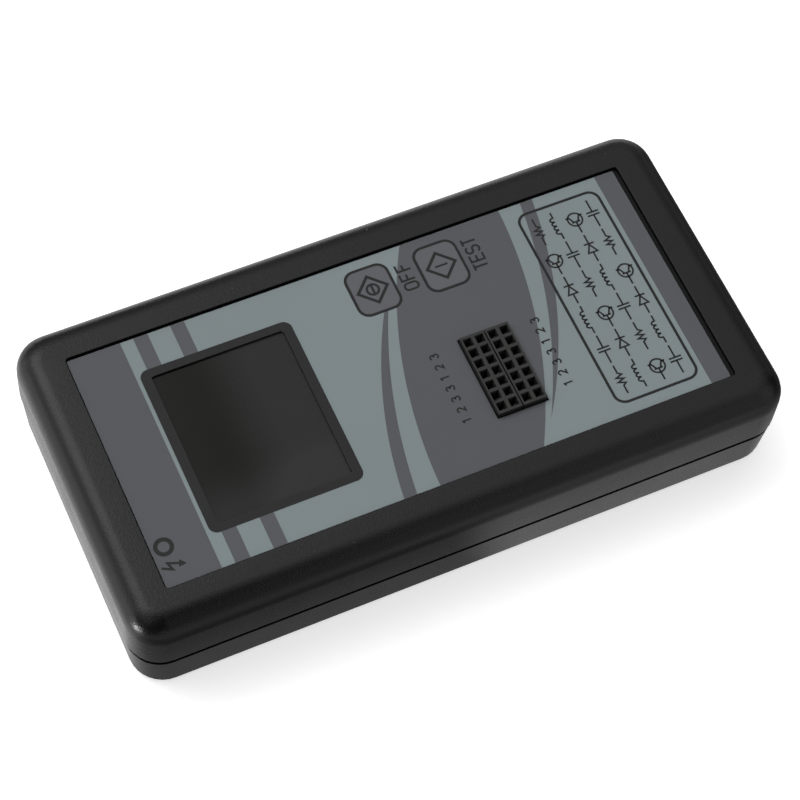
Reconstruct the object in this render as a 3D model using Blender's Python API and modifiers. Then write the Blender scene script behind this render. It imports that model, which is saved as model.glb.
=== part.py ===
"""Handheld component tester: a two-shell moulded case with a printed front panel, a colour display,
two film keys, a pair of test sockets and a nine-volt battery behind a sliding door.

Frame: metres, +Z up, origin at the centre of the underside. +X runs from the display end to the
battery end, +Y to the side with the keys."""

import math

import bmesh
import bpy
from mathutils import Matrix, Vector

# Clearances
FIT_GAP = 0.0003  # between pieces that touch, seat or slide on each other
BOND_LINE = 0.0001  # adhesive under the front panel film
KEY_GAP = 0.00025  # slit round each key in the front panel
BAY_GAP = 0.0005  # each side of the battery in its bay
UNION_BITE = 0.0005  # how far a rib or boss reaches into the wall that it grows from
CUT_PAST = 0.001  # how far a cutter runs past the face that it opens

# Moulded case
WALL = 0.0022
FLOOR = 0.0024
ROOF = 0.002
CORNER_RADIUS = 0.007
SHOULDER_RADIUS = 0.005
BASE_EDGE_RADIUS = 0.002
END_ZONE = 0.0099  # wall and screw post, at each end of what the case holds
POST_INSET = 0.0061  # screw post centre from the outer faces
SEAM_HEIGHT = 0.01115
SEAM_GROOVE = 0.0014
BASE_STEP = 0.0002  # the lower shell sits this far inside the upper shell's outline
BASE_DRAFT = 0.0006  # the lower shell narrows by this on each side, down to its floor
TONGUE_INSET = 0.0013
TONGUE_RISE = 0.0025
POST_RADIUS = 0.0034
BOSS_RADIUS = 0.0029
PILOT_DEPTH = 0.007
RIM_RISE = 0.0005  # the rim stands this far above the front panel
RIM_END = 0.00915
RIM_SIDE = 0.00855

# Front panel film
FILM = 0.0004
FILM_GAP_LEFT = 0.00022
FILM_GAP_RIGHT = 0.00108
FILM_GAP_NEAR = 0.00026
FILM_GAP_FAR = 0.00044
FILM_CORNER = 0.0004

# Display
DISPLAY_FROM_BOARD_END = 0.02703
DISPLAY_Y = -0.00035
VIEW_X = 0.0276
VIEW_Y = 0.0341
VIEW_CORNER = 0.0004
LENS_LEDGE = 0.0012
LENS = 0.0008
PANEL_X = 0.034
PANEL_Y = 0.0467
PANEL_SHIFT = 0.003  # the driver end makes the panel longer on the near side
GLASS_MARGIN_X = 0.001
GLASS_MARGIN_Y = 0.0022
GLASS = 0.0013
BACKLIGHT = 0.0012
BACKLIGHT_CORNER = 0.0004
CARRIER_RAIL = 0.004
CARRIER_Y = 0.036
RIBBON_WIDTH = 0.012
RIBBON = 0.0002
RIBBON_TAIL = 0.006

# Keys and their switches
KEY_X = 0.009
KEY_Y = 0.0106
KEY_CORNER = 0.0022
KEY_STEM_RADIUS = 0.0025
TEST_KEY_FROM_BOARD_END = 0.0121
KEY_PITCH = 0.01493
KEYS_FROM_FILM_EDGE = 0.00755
SWITCH_SIDE = 0.006
SWITCH_BASE = 0.0035
SWITCH_HEIGHT = 0.005
SWITCH_FLOOR = 0.0005
PLUNGER_RADIUS = 0.0017
KEY_TRAVEL = 0.00025

# Test sockets
PIN_PITCH = 0.00254
SOCKET_COLUMNS = 2
SOCKET_ROWS = 7
SOCKET_HEIGHT = 0.0085
SOCKET_PROUD = 0.0012
SOCKET_END = 0.00027  # the moulding's end wall past the last row's pitch
SOCKETS_FROM_BOARD_END = 0.01105
SOCKETS_Y = -0.00788
SOCKETS_APART = 0.00025
FUNNEL = 0.0018
FUNNEL_DEPTH = 0.0008
CONTACT_WELL = 0.0014
WELL_DEPTH = 0.0062
PIN = 0.0006
PIN_STICKOUT = 0.0012

# Circuit board
BOARD_LENGTH = 0.088
BOARD_WIDTH = 0.057
BOARD = 0.0016
BOARD_CORNER = 0.0015
BOARD_SCREW_INSET = 0.0038
BOARD_BOSS_RADIUS = 0.0026
LED_FROM_BOARD_END = 0.00207
LED_FROM_FILM_EDGE = 0.0082
LED_RADIUS = 0.0015
LED_FLANGE = 0.0019
LED_FLANGE_HEIGHT = 0.0008
LED_HEIGHT = 0.0053

# Packages under the board: body length, body width, body height, lead span, lead width
QUAD_PACKAGE = (0.007, 0.007, 0.001, 0.009, 0.0004)
QUAD_LEADS = 8
QUAD_LEAD_PITCH = 0.0008
POWER_PACKAGE = (0.0045, 0.0025, 0.0015, 0.004, 0.0005)
POWER_LEAD_PITCH = 0.0015
SMALL_PACKAGE = (0.0029, 0.0013, 0.001, 0.0024, 0.0004)
SMALL_LEAD_PITCH = 0.00095
THREE_LEADS = 3
LEAD_THICKNESS = 0.0002
TRANSISTOR_COUNT = 3
TRANSISTOR_PITCH = 0.0048
CHIP_RESISTOR = (0.0032, 0.0016, 0.0006)
RESISTOR_COUNT = 6
RESISTOR_PITCH = 0.0024
CRYSTAL = (0.011, 0.0046, 0.0035)
CRYSTAL_EDGE = 0.0003
CAPACITOR_COUNT = 2
CAPACITOR_PITCH = 0.0095
CAPACITOR_RADIUS = 0.00315
CAPACITOR_HEIGHT = 0.0054
CRIMP_HEIGHT = 0.0013
CRIMP_DEPTH = 0.0003
CRIMP_WIDTH = 0.0008
COLUMNS = 8  # the parts under the board stand in columns, evenly spaced along its length

# Battery, its bay and its door
BATTERY_WIDTH = 0.0265
BATTERY_LENGTH = 0.0464
BATTERY_HEIGHT = 0.0175
BATTERY_EDGE = 0.0025
STUD_HEIGHT = 0.0018
STUD_PITCH = 0.0127
PLUS_STUD_RADIUS = 0.0028
MINUS_STUD_RADIUS = 0.0039
MINUS_STUD_SIDES = 6
STUD_FLOOR = 0.0004
SNAP_LENGTH = 0.0254
SNAP_HEIGHT = 0.012
SNAP_CORNER = 0.004
SNAP_BACK = 0.0022
SOFT_EDGE = 0.0004  # round on the ends of the battery and the snap
BAY_WALL = 0.0012
BAY_SIDE = 0.00045  # battery end to door cut-out
HOLD_RIB = 0.0014
HOLD_RIB_WIDTH = 0.0015
DOOR = 0.002
DOOR_LIP = 0.006
DOOR_RAIL = 0.0009
DOOR_RAIL_LOW = 0.0007
DOOR_RAIL_HIGH = 0.0013
RAIL_WALL = 0.0007  # floor left between the door's groove and a screw's counterbore
GRIP_COUNT = 6
GRIP_PITCH = 0.0024
GRIP_WIDTH = 0.0012
GRIP_DEPTH = 0.0006
GRIP_LENGTH = 0.022
GRIP_FROM_END = 0.0085
LEAD_RADIUS = 0.0007
LEAD_FIRST_LANE = 0.0016  # from the snap's back to the nearer lead
LEAD_LANE = 0.0021  # between the two leads where they run side by side
LEAD_PADS_FROM_BOARD_END = 0.0094
LEAD_PAD_PITCH = 0.0042
LEAD_PASS = 0.0066  # opening between the bay's inner wall and the case side

# Screws: shaft radius, head radius, head height
CASE_SHAFT = 0.00125
CASE_HEAD = 0.0023
CASE_HEAD_HEIGHT = 0.0016
CASE_HEAD_SINK = 0.0005
BOARD_SHAFT = 0.001
BOARD_HEAD = 0.002
BOARD_HEAD_HEIGHT = 0.0015
BOARD_SCREW_REACH = 0.0042
RECESS_WIDTH = 0.0005
RECESS_DEPTH = 0.0008

# Along X, from the display end to the battery end
CASE_LENGTH = 2 * END_ZONE + BOARD_LENGTH + BATTERY_WIDTH + 2 * (BAY_WALL + BAY_GAP) + FIT_GAP
HALF_LENGTH = CASE_LENGTH / 2
BOARD_X = (END_ZONE - HALF_LENGTH, END_ZONE - HALF_LENGTH + BOARD_LENGTH)
INNER_BAY_WALL_X = (BOARD_X[1] + FIT_GAP, BOARD_X[1] + FIT_GAP + BAY_WALL)
BATTERY_X = (INNER_BAY_WALL_X[1] + BAY_GAP, INNER_BAY_WALL_X[1] + BAY_GAP + BATTERY_WIDTH)
OUTER_BAY_WALL_X = (BATTERY_X[1] + BAY_GAP, BATTERY_X[1] + BAY_GAP + BAY_WALL)
BATTERY_MIDDLE_X = sum(BATTERY_X) / 2
DOOR_CUT_X = INNER_BAY_WALL_X[1] + FIT_GAP
DISPLAY_X = BOARD_X[0] + DISPLAY_FROM_BOARD_END
TEST_KEY_X = BOARD_X[1] - TEST_KEY_FROM_BOARD_END
OFF_KEY_X = TEST_KEY_X - KEY_PITCH
SOCKETS_X = BOARD_X[1] - SOCKETS_FROM_BOARD_END
LED_X = BOARD_X[0] + LED_FROM_BOARD_END

# Across Y, from the battery out to the case sides
BAY_HALF = (BATTERY_LENGTH + FIT_GAP + STUD_HEIGHT) / 2 + BAY_SIDE
DOOR_HALF = BAY_HALF - FIT_GAP
RAIL_HALF = DOOR_HALF + DOOR_RAIL
GROOVE_HALF = RAIL_HALF + FIT_GAP
COUNTERBORE = CASE_HEAD + FIT_GAP
POST_Y = GROOVE_HALF + RAIL_WALL + COUNTERBORE
HALF_WIDTH = POST_Y + POST_INSET
POST_X = HALF_LENGTH - POST_INSET
BATTERY_Y = (BAY_SIDE - BAY_HALF, BAY_SIDE - BAY_HALF + BATTERY_LENGTH)
STUD_Y = (BATTERY_Y[1] + FIT_GAP, BATTERY_Y[1] + FIT_GAP + STUD_HEIGHT)
SNAP_Y = (BATTERY_Y[1] + FIT_GAP, STUD_Y[1] + FIT_GAP + SNAP_BACK)

# Up Z
BATTERY_Z = (DOOR + FIT_GAP, DOOR + FIT_GAP + BATTERY_HEIGHT)
BATTERY_MIDDLE_Z = sum(BATTERY_Z) / 2
CEILING = BATTERY_Z[1] + FIT_GAP + HOLD_RIB
RECESS_FLOOR = CEILING + ROOF
FILM_Z = (RECESS_FLOOR + BOND_LINE, RECESS_FLOOR + BOND_LINE + FILM)
CASE_TOP = FILM_Z[1] + RIM_RISE
BASE_TOP = SEAM_HEIGHT - SEAM_GROOVE / 2
TOP_LOW = SEAM_HEIGHT + SEAM_GROOVE / 2
TONGUE_TOP = BASE_TOP + TONGUE_RISE
POST_TOP = TOP_LOW - FIT_GAP
SOCKET_TOP = FILM_Z[1] + SOCKET_PROUD
SOCKET_LOW = SOCKET_TOP - SOCKET_HEIGHT
BOARD_Z = (SOCKET_LOW - FIT_GAP - BOARD, SOCKET_LOW - FIT_GAP)
ON_BOARD = BOARD_Z[1] + FIT_GAP
UNDER_BOARD = BOARD_Z[0] - FIT_GAP
LENS_TOP = FILM_Z[0] - BOND_LINE
LENS_POCKET = LENS_TOP - LENS - FIT_GAP
GLASS_Z = (CEILING - FIT_GAP - GLASS, CEILING - FIT_GAP)
BACKLIGHT_Z = (GLASS_Z[0] - FIT_GAP - BACKLIGHT, GLASS_Z[0] - FIT_GAP)
SWITCH_TOP = ON_BOARD + SWITCH_HEIGHT
COUNTERBORE_TOP = CASE_HEAD_SINK + CASE_HEAD_HEIGHT + FIT_GAP

FILM_X = (RIM_END - HALF_LENGTH + FILM_GAP_LEFT, HALF_LENGTH - RIM_END - FILM_GAP_RIGHT)
FILM_Y = (RIM_SIDE - HALF_WIDTH + FILM_GAP_NEAR, HALF_WIDTH - RIM_SIDE - FILM_GAP_FAR)
KEY_ROW_Y = FILM_Y[1] - KEYS_FROM_FILM_EDGE
LED_Y = FILM_Y[0] + LED_FROM_FILM_EDGE
POSTS = [(x, y) for x in (-POST_X, POST_X) for y in (-POST_Y, POST_Y)]
BOARD_SCREWS = [
    (x, y)
    for x in (BOARD_X[0] + BOARD_SCREW_INSET, BOARD_X[1] - BOARD_SCREW_INSET)
    for y in (BOARD_SCREW_INSET - BOARD_WIDTH / 2, BOARD_WIDTH / 2 - BOARD_SCREW_INSET)
]
KEYS = {"off": OFF_KEY_X, "test": TEST_KEY_X}

# Facets: sides of a round piece, and flats on a rounded edge
ROUND_STEPS = 24
FINE_ROUND_STEPS = 16
SQUARE = 4
EDGE_STEPS = 8
BASE_STEPS = 8
INNER_STEPS = 4
SMALL_STEPS = 2
DOME_STEPS = 6
LEAD_STEPS = 3
LEAD_RESOLUTION = 2
SMOOTH_ANGLE = math.radians(35)
SAME_LEVEL = 1e-7  # heights closer than this are one level
AXIS_MERGE = 0.00001  # points of a turned profile this close to the axis lie on it
JOINT_MARK = 0.007  # drawn size of the empty on a joint

for old in list(bpy.data.objects):
    bpy.data.objects.remove(old)
PARTS = bpy.data.collections.new("component_tester")
CUTTERS = bpy.data.collections.new("component_tester_cutters")
for group in (PARTS, CUTTERS):
    bpy.context.scene.collection.children.link(group)


# Shapes: each returns a function that adds one closed shape to a mesh


def around(centre, size):
    """A low and high pair of this size round a centre."""
    return (centre - size / 2, centre + size / 2)


def box(x, y, z):
    def add(mesh):
        verts = bmesh.ops.create_cube(mesh, size=1)["verts"]
        for vert in verts:
            vert.co = (x[vert.co.x > 0], y[vert.co.y > 0], z[vert.co.z > 0])
        return verts

    return add


def rounded(x, y, z, corner, top=0.0, bottom=0.0, draft=0.0, steps=EDGE_STEPS):
    """A block with rounded upright edges, and rounded top and bottom edges where asked."""

    def add(mesh):
        verts = box(x, y, z)(mesh)
        middle = Vector((sum(x) / 2, sum(y) / 2))
        for vert in verts:
            if vert.co.z < sum(z) / 2:
                vert.co.x -= math.copysign(draft, vert.co.x - middle.x)
                vert.co.y -= math.copysign(draft, vert.co.y - middle.y)
        upright = {
            edge
            for vert in verts
            for edge in vert.link_edges
            if abs(edge.verts[0].co.z - edge.verts[1].co.z) > (z[1] - z[0]) / 2
        }
        made = bevel(mesh, upright, corner, steps)
        for radius, height in ((top, z[1]), (bottom, z[0])):
            if radius:
                arcs = {edge for face in made if face.is_valid for edge in face.edges}
                ends = {vert for edge in arcs if at_level(edge, height) for vert in edge.verts}
                sides = {edge for vert in ends for edge in vert.link_edges}
                bevel(mesh, [edge for edge in sides if at_level(edge, height)], radius, steps)

    return add


def at_level(edge, height):
    return all(abs(vert.co.z - height) < SAME_LEVEL for vert in edge.verts)


def bevel(mesh, edges, radius, steps):
    return bmesh.ops.bevel(
        mesh,
        geom=list(edges),
        offset=radius,
        offset_type="OFFSET",
        segments=steps,
        profile=0.5,
        affect="EDGES",
        clamp_overlap=False,
    )["faces"]


def rod(radius, x, y, z, steps=ROUND_STEPS):
    """An upright cylinder."""
    return frustum(radius, radius, x, y, z, steps)


def frustum(low_radius, high_radius, x, y, z, steps):
    place = Matrix.Translation((x, y, sum(z) / 2))
    if steps == SQUARE:
        place = place @ Matrix.Rotation(math.pi / SQUARE, 4, "Z")

    def add(mesh):
        bmesh.ops.create_cone(
            mesh,
            cap_ends=True,
            segments=steps,
            radius1=low_radius,
            radius2=high_radius,
            depth=z[1] - z[0],
            matrix=place,
        )

    return add


# Objects


def material(name, colour, roughness, metallic=0.0):
    made = bpy.data.materials.new(name)
    made.use_nodes = True
    shader = made.node_tree.nodes["Principled BSDF"]
    shader.inputs["Base Color"].default_value = (*colour, 1.0)
    shader.inputs["Roughness"].default_value = roughness
    shader.inputs["Metallic"].default_value = metallic
    return made


def shaped(name, shapes, group):
    mesh = bmesh.new()
    for add in shapes:
        add(mesh)
    bmesh.ops.recalc_face_normals(mesh, faces=mesh.faces)
    data = bpy.data.meshes.new(name)
    mesh.to_mesh(data)
    mesh.free()
    data.shade_smooth()
    data.set_sharp_from_angle(angle=SMOOTH_ANGLE)
    made = bpy.data.objects.new(name, data)
    group.objects.link(made)
    return made


def part(name, finish, *shapes):
    made = shaped(name, shapes, PARTS)
    made.data.materials.append(finish)
    return made


def tool(name, *shapes):
    made = shaped(name, shapes, CUTTERS)
    made.hide_render = True
    made.display_type = "WIRE"
    return made


def combine(target, operation, other):
    step = target.modifiers.new(other.name, "BOOLEAN")
    step.operation = operation
    step.object = other


def cut(target, name, *shapes):
    cutter = tool(name, *shapes)
    combine(target, "DIFFERENCE", cutter)
    return cutter


def join(target, name, *shapes):
    combine(target, "UNION", tool(name, *shapes))


def baked(made):
    """The object's mesh with its modifiers applied, for copies that share it."""
    bpy.context.view_layer.update()
    graph = bpy.context.evaluated_depsgraph_get()
    data = bpy.data.meshes.new_from_object(made.evaluated_get(graph))
    bpy.data.objects.remove(made)
    return data


def copies(name, data, places):
    for number, place in enumerate(places, 1):
        made = bpy.data.objects.new(f"{name}_{number}", data)
        made.location = place
        PARTS.objects.link(made)


def turned(name, finish, profile, place):
    """A turned piece: a profile of radius and height, from the top of the axis to its bottom."""
    mesh = bmesh.new()
    points = [mesh.verts.new((radius, 0, height)) for radius, height in profile]
    for start, end in zip(points, points[1:]):
        mesh.edges.new((start, end))
    data = bpy.data.meshes.new(name)
    mesh.to_mesh(data)
    mesh.free()
    made = bpy.data.objects.new(name, data)
    made.location = place
    PARTS.objects.link(made)
    spin = made.modifiers.new("turn", "SCREW")
    spin.steps = spin.render_steps = FINE_ROUND_STEPS
    spin.use_merge_vertices = True
    spin.merge_threshold = AXIS_MERGE
    spin.use_smooth_shade = True
    made.data.materials.append(finish)
    return made


def wire(name, finish, route):
    """A round lead on a smooth curve through its route's points."""
    path = smooth_path(route)
    curve = bpy.data.curves.new(name, "CURVE")
    curve.dimensions = "3D"
    curve.bevel_depth = LEAD_RADIUS
    curve.bevel_resolution = LEAD_RESOLUTION
    curve.use_fill_caps = True
    spline = curve.splines.new("POLY")
    spline.points.add(len(path) - 1)
    for point, place in zip(spline.points, path):
        point.co = (*place, 1)
    curve.materials.append(finish)
    PARTS.objects.link(bpy.data.objects.new(name, curve))


def smooth_path(route):
    """Points on a smooth curve that passes through each point of the route."""
    points = [Vector(place) for place in route]
    ends = [2 * points[0] - points[1], *points, 2 * points[-1] - points[-2]]
    path = []
    for before, start, end, after in zip(ends, ends[1:], ends[2:], ends[3:]):
        for step in range(LEAD_STEPS):
            t = step / LEAD_STEPS
            path.append(
                start
                + (end - before) * (t / 2)
                + (before * 2 - start * 5 + end * 4 - after) * (t * t / 2)
                + (start * 3 - before - end * 3 + after) * (t * t * t / 2)
            )
    return [*path, points[-1]]


def slide_frame(name, place, *moving):
    """An empty on the axis of a sliding joint, which carries the pieces that move."""
    empty = bpy.data.objects.new(name, None)
    empty.empty_display_size = JOINT_MARK
    empty.location = place
    PARTS.objects.link(empty)
    for made in moving:
        made.parent = empty
        made.matrix_parent_inverse = Matrix.Translation(Vector(place)).inverted()


# Finishes

BLACK_ABS = material("black_abs", (0.028, 0.028, 0.029), 0.5)
PANEL_FILM = material("panel_film", (0.21, 0.24, 0.26), 0.45)
SMOKED_CLEAR = material("smoked_clear", (0.02, 0.02, 0.022), 0.12)
DISPLAY_GLASS = material("display_glass", (0.015, 0.015, 0.017), 0.1)
WHITE_PLASTIC = material("white_plastic", (0.75, 0.75, 0.73), 0.5)
AMBER_FILM = material("amber_film", (0.45, 0.2, 0.04), 0.4)
GREEN_BOARD = material("green_board", (0.02, 0.16, 0.06), 0.4)
SOCKET_PLASTIC = material("socket_plastic", (0.012, 0.012, 0.012), 0.45)
CHIP_BLACK = material("chip_black", (0.02, 0.02, 0.02), 0.6)
SWITCH_BLACK = material("switch_black", (0.03, 0.03, 0.03), 0.5)
SCREW_STEEL = material("screw_steel", (0.45, 0.45, 0.46), 0.35, 1.0)
BRIGHT_TIN = material("bright_tin", (0.72, 0.72, 0.7), 0.3, 1.0)
RESISTOR_BLACK = material("resistor_black", (0.03, 0.03, 0.035), 0.5)
CAPACITOR_SLEEVE = material("capacitor_sleeve", (0.03, 0.04, 0.09), 0.4)
RED_LED = material("red_led", (0.6, 0.02, 0.02), 0.2)
BATTERY_JACKET = material("battery_jacket", (0.06, 0.06, 0.07), 0.35)
RED_LEAD = material("red_lead", (0.55, 0.02, 0.02), 0.45)
BLACK_LEAD = material("black_lead", (0.015, 0.015, 0.015), 0.45)


# Upper shell: rounded shoulders, a recess for the panel, openings, screw bosses and battery ribs


def view_opening(z):
    x, y = around(DISPLAY_X, VIEW_X), around(DISPLAY_Y, VIEW_Y)
    return rounded(x, y, z, VIEW_CORNER, steps=SMALL_STEPS)


def key_openings(z):
    return [
        rounded(
            around(x, KEY_X + 2 * KEY_GAP),
            around(KEY_ROW_Y, KEY_Y + 2 * KEY_GAP),
            z,
            KEY_CORNER + KEY_GAP,
        )
        for x in KEYS.values()
    ]


def socket_opening(z):
    across = 2 * SOCKET_COLUMNS * PIN_PITCH + SOCKETS_APART + 2 * FIT_GAP
    along = SOCKET_ROWS * PIN_PITCH + 2 * SOCKET_END + 2 * FIT_GAP
    return box(around(SOCKETS_X, across), around(SOCKETS_Y, along), z)


def ring_of(inset, z, corner, **rounds):
    """A block that follows the case's plan, this far inside its outer faces."""
    half_x, half_y = HALF_LENGTH - inset, HALF_WIDTH - inset
    return rounded((-half_x, half_x), (-half_y, half_y), z, corner, **rounds)


def make_top_shell():
    shell = part(
        "top_shell",
        BLACK_ABS,
        ring_of(0, (TOP_LOW, CASE_TOP), CORNER_RADIUS, top=SHOULDER_RADIUS),
    )
    cut(
        shell,
        "top_cavity",
        ring_of(
            WALL,
            (TOP_LOW - CUT_PAST, CEILING),
            CORNER_RADIUS - WALL,
            top=SHOULDER_RADIUS - WALL,
            steps=INNER_STEPS,
        ),
    )
    rebate = TONGUE_INSET - FIT_GAP
    rebate_z = (TOP_LOW - CUT_PAST, TONGUE_TOP + FIT_GAP)
    cut(shell, "top_rebate", ring_of(rebate, rebate_z, CORNER_RADIUS - rebate, steps=INNER_STEPS))
    root = CEILING + UNION_BITE
    join(shell, "case_bosses", *[rod(BOSS_RADIUS, x, y, (TOP_LOW, root)) for x, y in POSTS])
    join(
        shell,
        "board_bosses",
        *[rod(BOARD_BOSS_RADIUS, x, y, (ON_BOARD, root), FINE_ROUND_STEPS) for x, y in BOARD_SCREWS],
    )
    rib_x = (BATTERY_X[0] + BATTERY_EDGE, BATTERY_X[1] - BATTERY_EDGE)
    rib_z = (BATTERY_Z[1] + FIT_GAP, root)
    quarter = BATTERY_LENGTH / 4
    join(
        shell,
        "battery_ribs",
        box(OUTER_BAY_WALL_X, (-BAY_HALF + WALL, BAY_HALF - WALL), (TOP_LOW, root)),
        *[box(rib_x, around(y, HOLD_RIB_WIDTH), rib_z) for y in (-quarter, quarter)],
    )
    pilot = (TOP_LOW - CUT_PAST, TOP_LOW + PILOT_DEPTH)
    cut(
        shell,
        "case_pilots",
        *[rod(CASE_SHAFT + FIT_GAP, x, y, pilot, FINE_ROUND_STEPS) for x, y in POSTS],
    )
    board_pilot = (BOARD_Z[0], BOARD_Z[0] + BOARD + BOARD_SCREW_REACH + 2 * FIT_GAP)
    cut(
        shell,
        "board_pilots",
        *[rod(BOARD_SHAFT + FIT_GAP, x, y, board_pilot, FINE_ROUND_STEPS) for x, y in BOARD_SCREWS],
    )
    cut(
        shell,
        "panel_recess",
        rounded(
            (RIM_END - HALF_LENGTH, HALF_LENGTH - RIM_END),
            (RIM_SIDE - HALF_WIDTH, HALF_WIDTH - RIM_SIDE),
            (RECESS_FLOOR, CASE_TOP + CUT_PAST),
            FILM_CORNER + FILM_GAP_NEAR,
            steps=SMALL_STEPS,
        ),
    )
    through = (CEILING - CUT_PAST, CASE_TOP)
    cut(
        shell,
        "lens_pocket",
        rounded(
            around(DISPLAY_X, VIEW_X + 2 * (LENS_LEDGE + FIT_GAP)),
            around(DISPLAY_Y, VIEW_Y + 2 * (LENS_LEDGE + FIT_GAP)),
            (LENS_POCKET, CASE_TOP),
            VIEW_CORNER + LENS_LEDGE,
            steps=SMALL_STEPS,
        ),
    )
    cut(
        shell,
        "panel_openings",
        view_opening(through),
        *key_openings(through),
        socket_opening(through),
        rod(LED_RADIUS + FIT_GAP, LED_X, LED_Y, through, FINE_ROUND_STEPS),
    )


# Lower shell and the battery door, which share one outer form


def base_form():
    return ring_of(
        BASE_STEP,
        (0, BASE_TOP),
        CORNER_RADIUS - BASE_STEP,
        bottom=BASE_EDGE_RADIUS,
        draft=BASE_DRAFT,
        steps=BASE_STEPS,
    )


def make_bottom_shell():
    shell = part("bottom_shell", BLACK_ABS, base_form())
    tongue_z = (BASE_TOP - TONGUE_RISE, TONGUE_TOP)
    tongue_corner = CORNER_RADIUS - TONGUE_INSET
    join(shell, "tongue", ring_of(TONGUE_INSET, tongue_z, tongue_corner, steps=BASE_STEPS))
    inset = BASE_STEP + WALL
    cut(
        shell,
        "base_cavity",
        ring_of(
            inset,
            (FLOOR, TONGUE_TOP + CUT_PAST),
            CORNER_RADIUS - inset,
            draft=BASE_DRAFT,
            steps=INNER_STEPS,
        ),
    )
    root = FLOOR - UNION_BITE
    join(shell, "case_posts", *[rod(POST_RADIUS, x, y, (root, POST_TOP)) for x, y in POSTS])
    wall_y = (inset - UNION_BITE - HALF_WIDTH, HALF_WIDTH - WALL - LEAD_PASS)
    join(shell, "inner_bay_wall", box(INNER_BAY_WALL_X, wall_y, (root, BASE_TOP)))
    past_end = HALF_LENGTH + CUT_PAST
    cut(
        shell,
        "door_opening",
        box((DOOR_CUT_X, past_end), (-BAY_HALF, BAY_HALF), (-CUT_PAST, DOOR_LIP + FIT_GAP)),
    )
    cut(
        shell,
        "door_grooves",
        box(
            (DOOR_CUT_X, past_end),
            (-GROOVE_HALF, GROOVE_HALF),
            (DOOR_RAIL_LOW - FIT_GAP, DOOR_RAIL_HIGH + FIT_GAP),
        ),
    )
    cut(
        shell,
        "case_screw_holes",
        *[
            rod(CASE_SHAFT + FIT_GAP, x, y, (-CUT_PAST, POST_TOP + CUT_PAST), FINE_ROUND_STEPS)
            for x, y in POSTS
        ],
    )
    cut(
        shell,
        "case_screw_counterbores",
        *[rod(COUNTERBORE, x, y, (-CUT_PAST, COUNTERBORE_TOP)) for x, y in POSTS],
    )


def make_battery_door():
    door_x = DOOR_CUT_X + FIT_GAP
    inner_end = HALF_LENGTH - BASE_STEP - BASE_DRAFT - WALL
    door = part("battery_door", BLACK_ABS, base_form())
    past_end = HALF_LENGTH + CUT_PAST
    door_outline = box((door_x, past_end), (-DOOR_HALF, DOOR_HALF), (-CUT_PAST, DOOR_LIP))
    combine(door, "INTERSECT", tool("door_outline", door_outline))
    cut(
        door,
        "door_inside",
        box((door_x - CUT_PAST, inner_end), (-BAY_HALF, BAY_HALF), (DOOR, DOOR_LIP + CUT_PAST)),
    )
    join(
        door,
        "door_rails",
        box(
            (door_x + FIT_GAP, inner_end),
            (-RAIL_HALF, RAIL_HALF),
            (DOOR_RAIL_LOW, DOOR_RAIL_HIGH),
        ),
    )
    first_grip = HALF_LENGTH - GRIP_FROM_END
    cut(
        door,
        "door_grips",
        *[
            box(
                around(first_grip - number * GRIP_PITCH, GRIP_WIDTH),
                around(0, GRIP_LENGTH),
                (-CUT_PAST, GRIP_DEPTH),
            )
            for number in range(GRIP_COUNT)
        ],
    )
    slide_frame("battery_door_slide", (door_x, 0, DOOR / 2), door)


# Front panel, keys and display


def make_panel():
    sheet = rounded(FILM_X, FILM_Y, FILM_Z, FILM_CORNER, steps=SMALL_STEPS)
    film = part("front_panel", PANEL_FILM, sheet)
    through = (FILM_Z[0] - CUT_PAST, FILM_Z[1] + CUT_PAST)
    cut(film, "film_openings", view_opening(through), *key_openings(through), socket_opening(through))


def make_key(name, x):
    key = part(
        f"{name}_key",
        PANEL_FILM,
        rounded(around(x, KEY_X), around(KEY_ROW_Y, KEY_Y), FILM_Z, KEY_CORNER),
    )
    stem_z = (SWITCH_TOP + FIT_GAP, FILM_Z[0] + FILM / 2)
    join(key, f"{name}_key_stem", rod(KEY_STEM_RADIUS, x, KEY_ROW_Y, stem_z))
    base = part(
        f"{name}_switch",
        SWITCH_BLACK,
        box(
            around(x, SWITCH_SIDE),
            around(KEY_ROW_Y, SWITCH_SIDE),
            (ON_BOARD, ON_BOARD + SWITCH_BASE),
        ),
    )
    well = ON_BOARD + SWITCH_FLOOR
    bore_z = (well, ON_BOARD + SWITCH_BASE + CUT_PAST)
    cut(base, f"{name}_switch_bore", rod(PLUNGER_RADIUS + FIT_GAP, x, KEY_ROW_Y, bore_z))
    plunger_z = (well + KEY_TRAVEL + FIT_GAP, SWITCH_TOP)
    plunger = part(f"{name}_plunger", SWITCH_BLACK, rod(PLUNGER_RADIUS, x, KEY_ROW_Y, plunger_z))
    slide_frame(f"{name}_key_slide", (x, KEY_ROW_Y, FILM_Z[1]), key, plunger)


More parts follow.
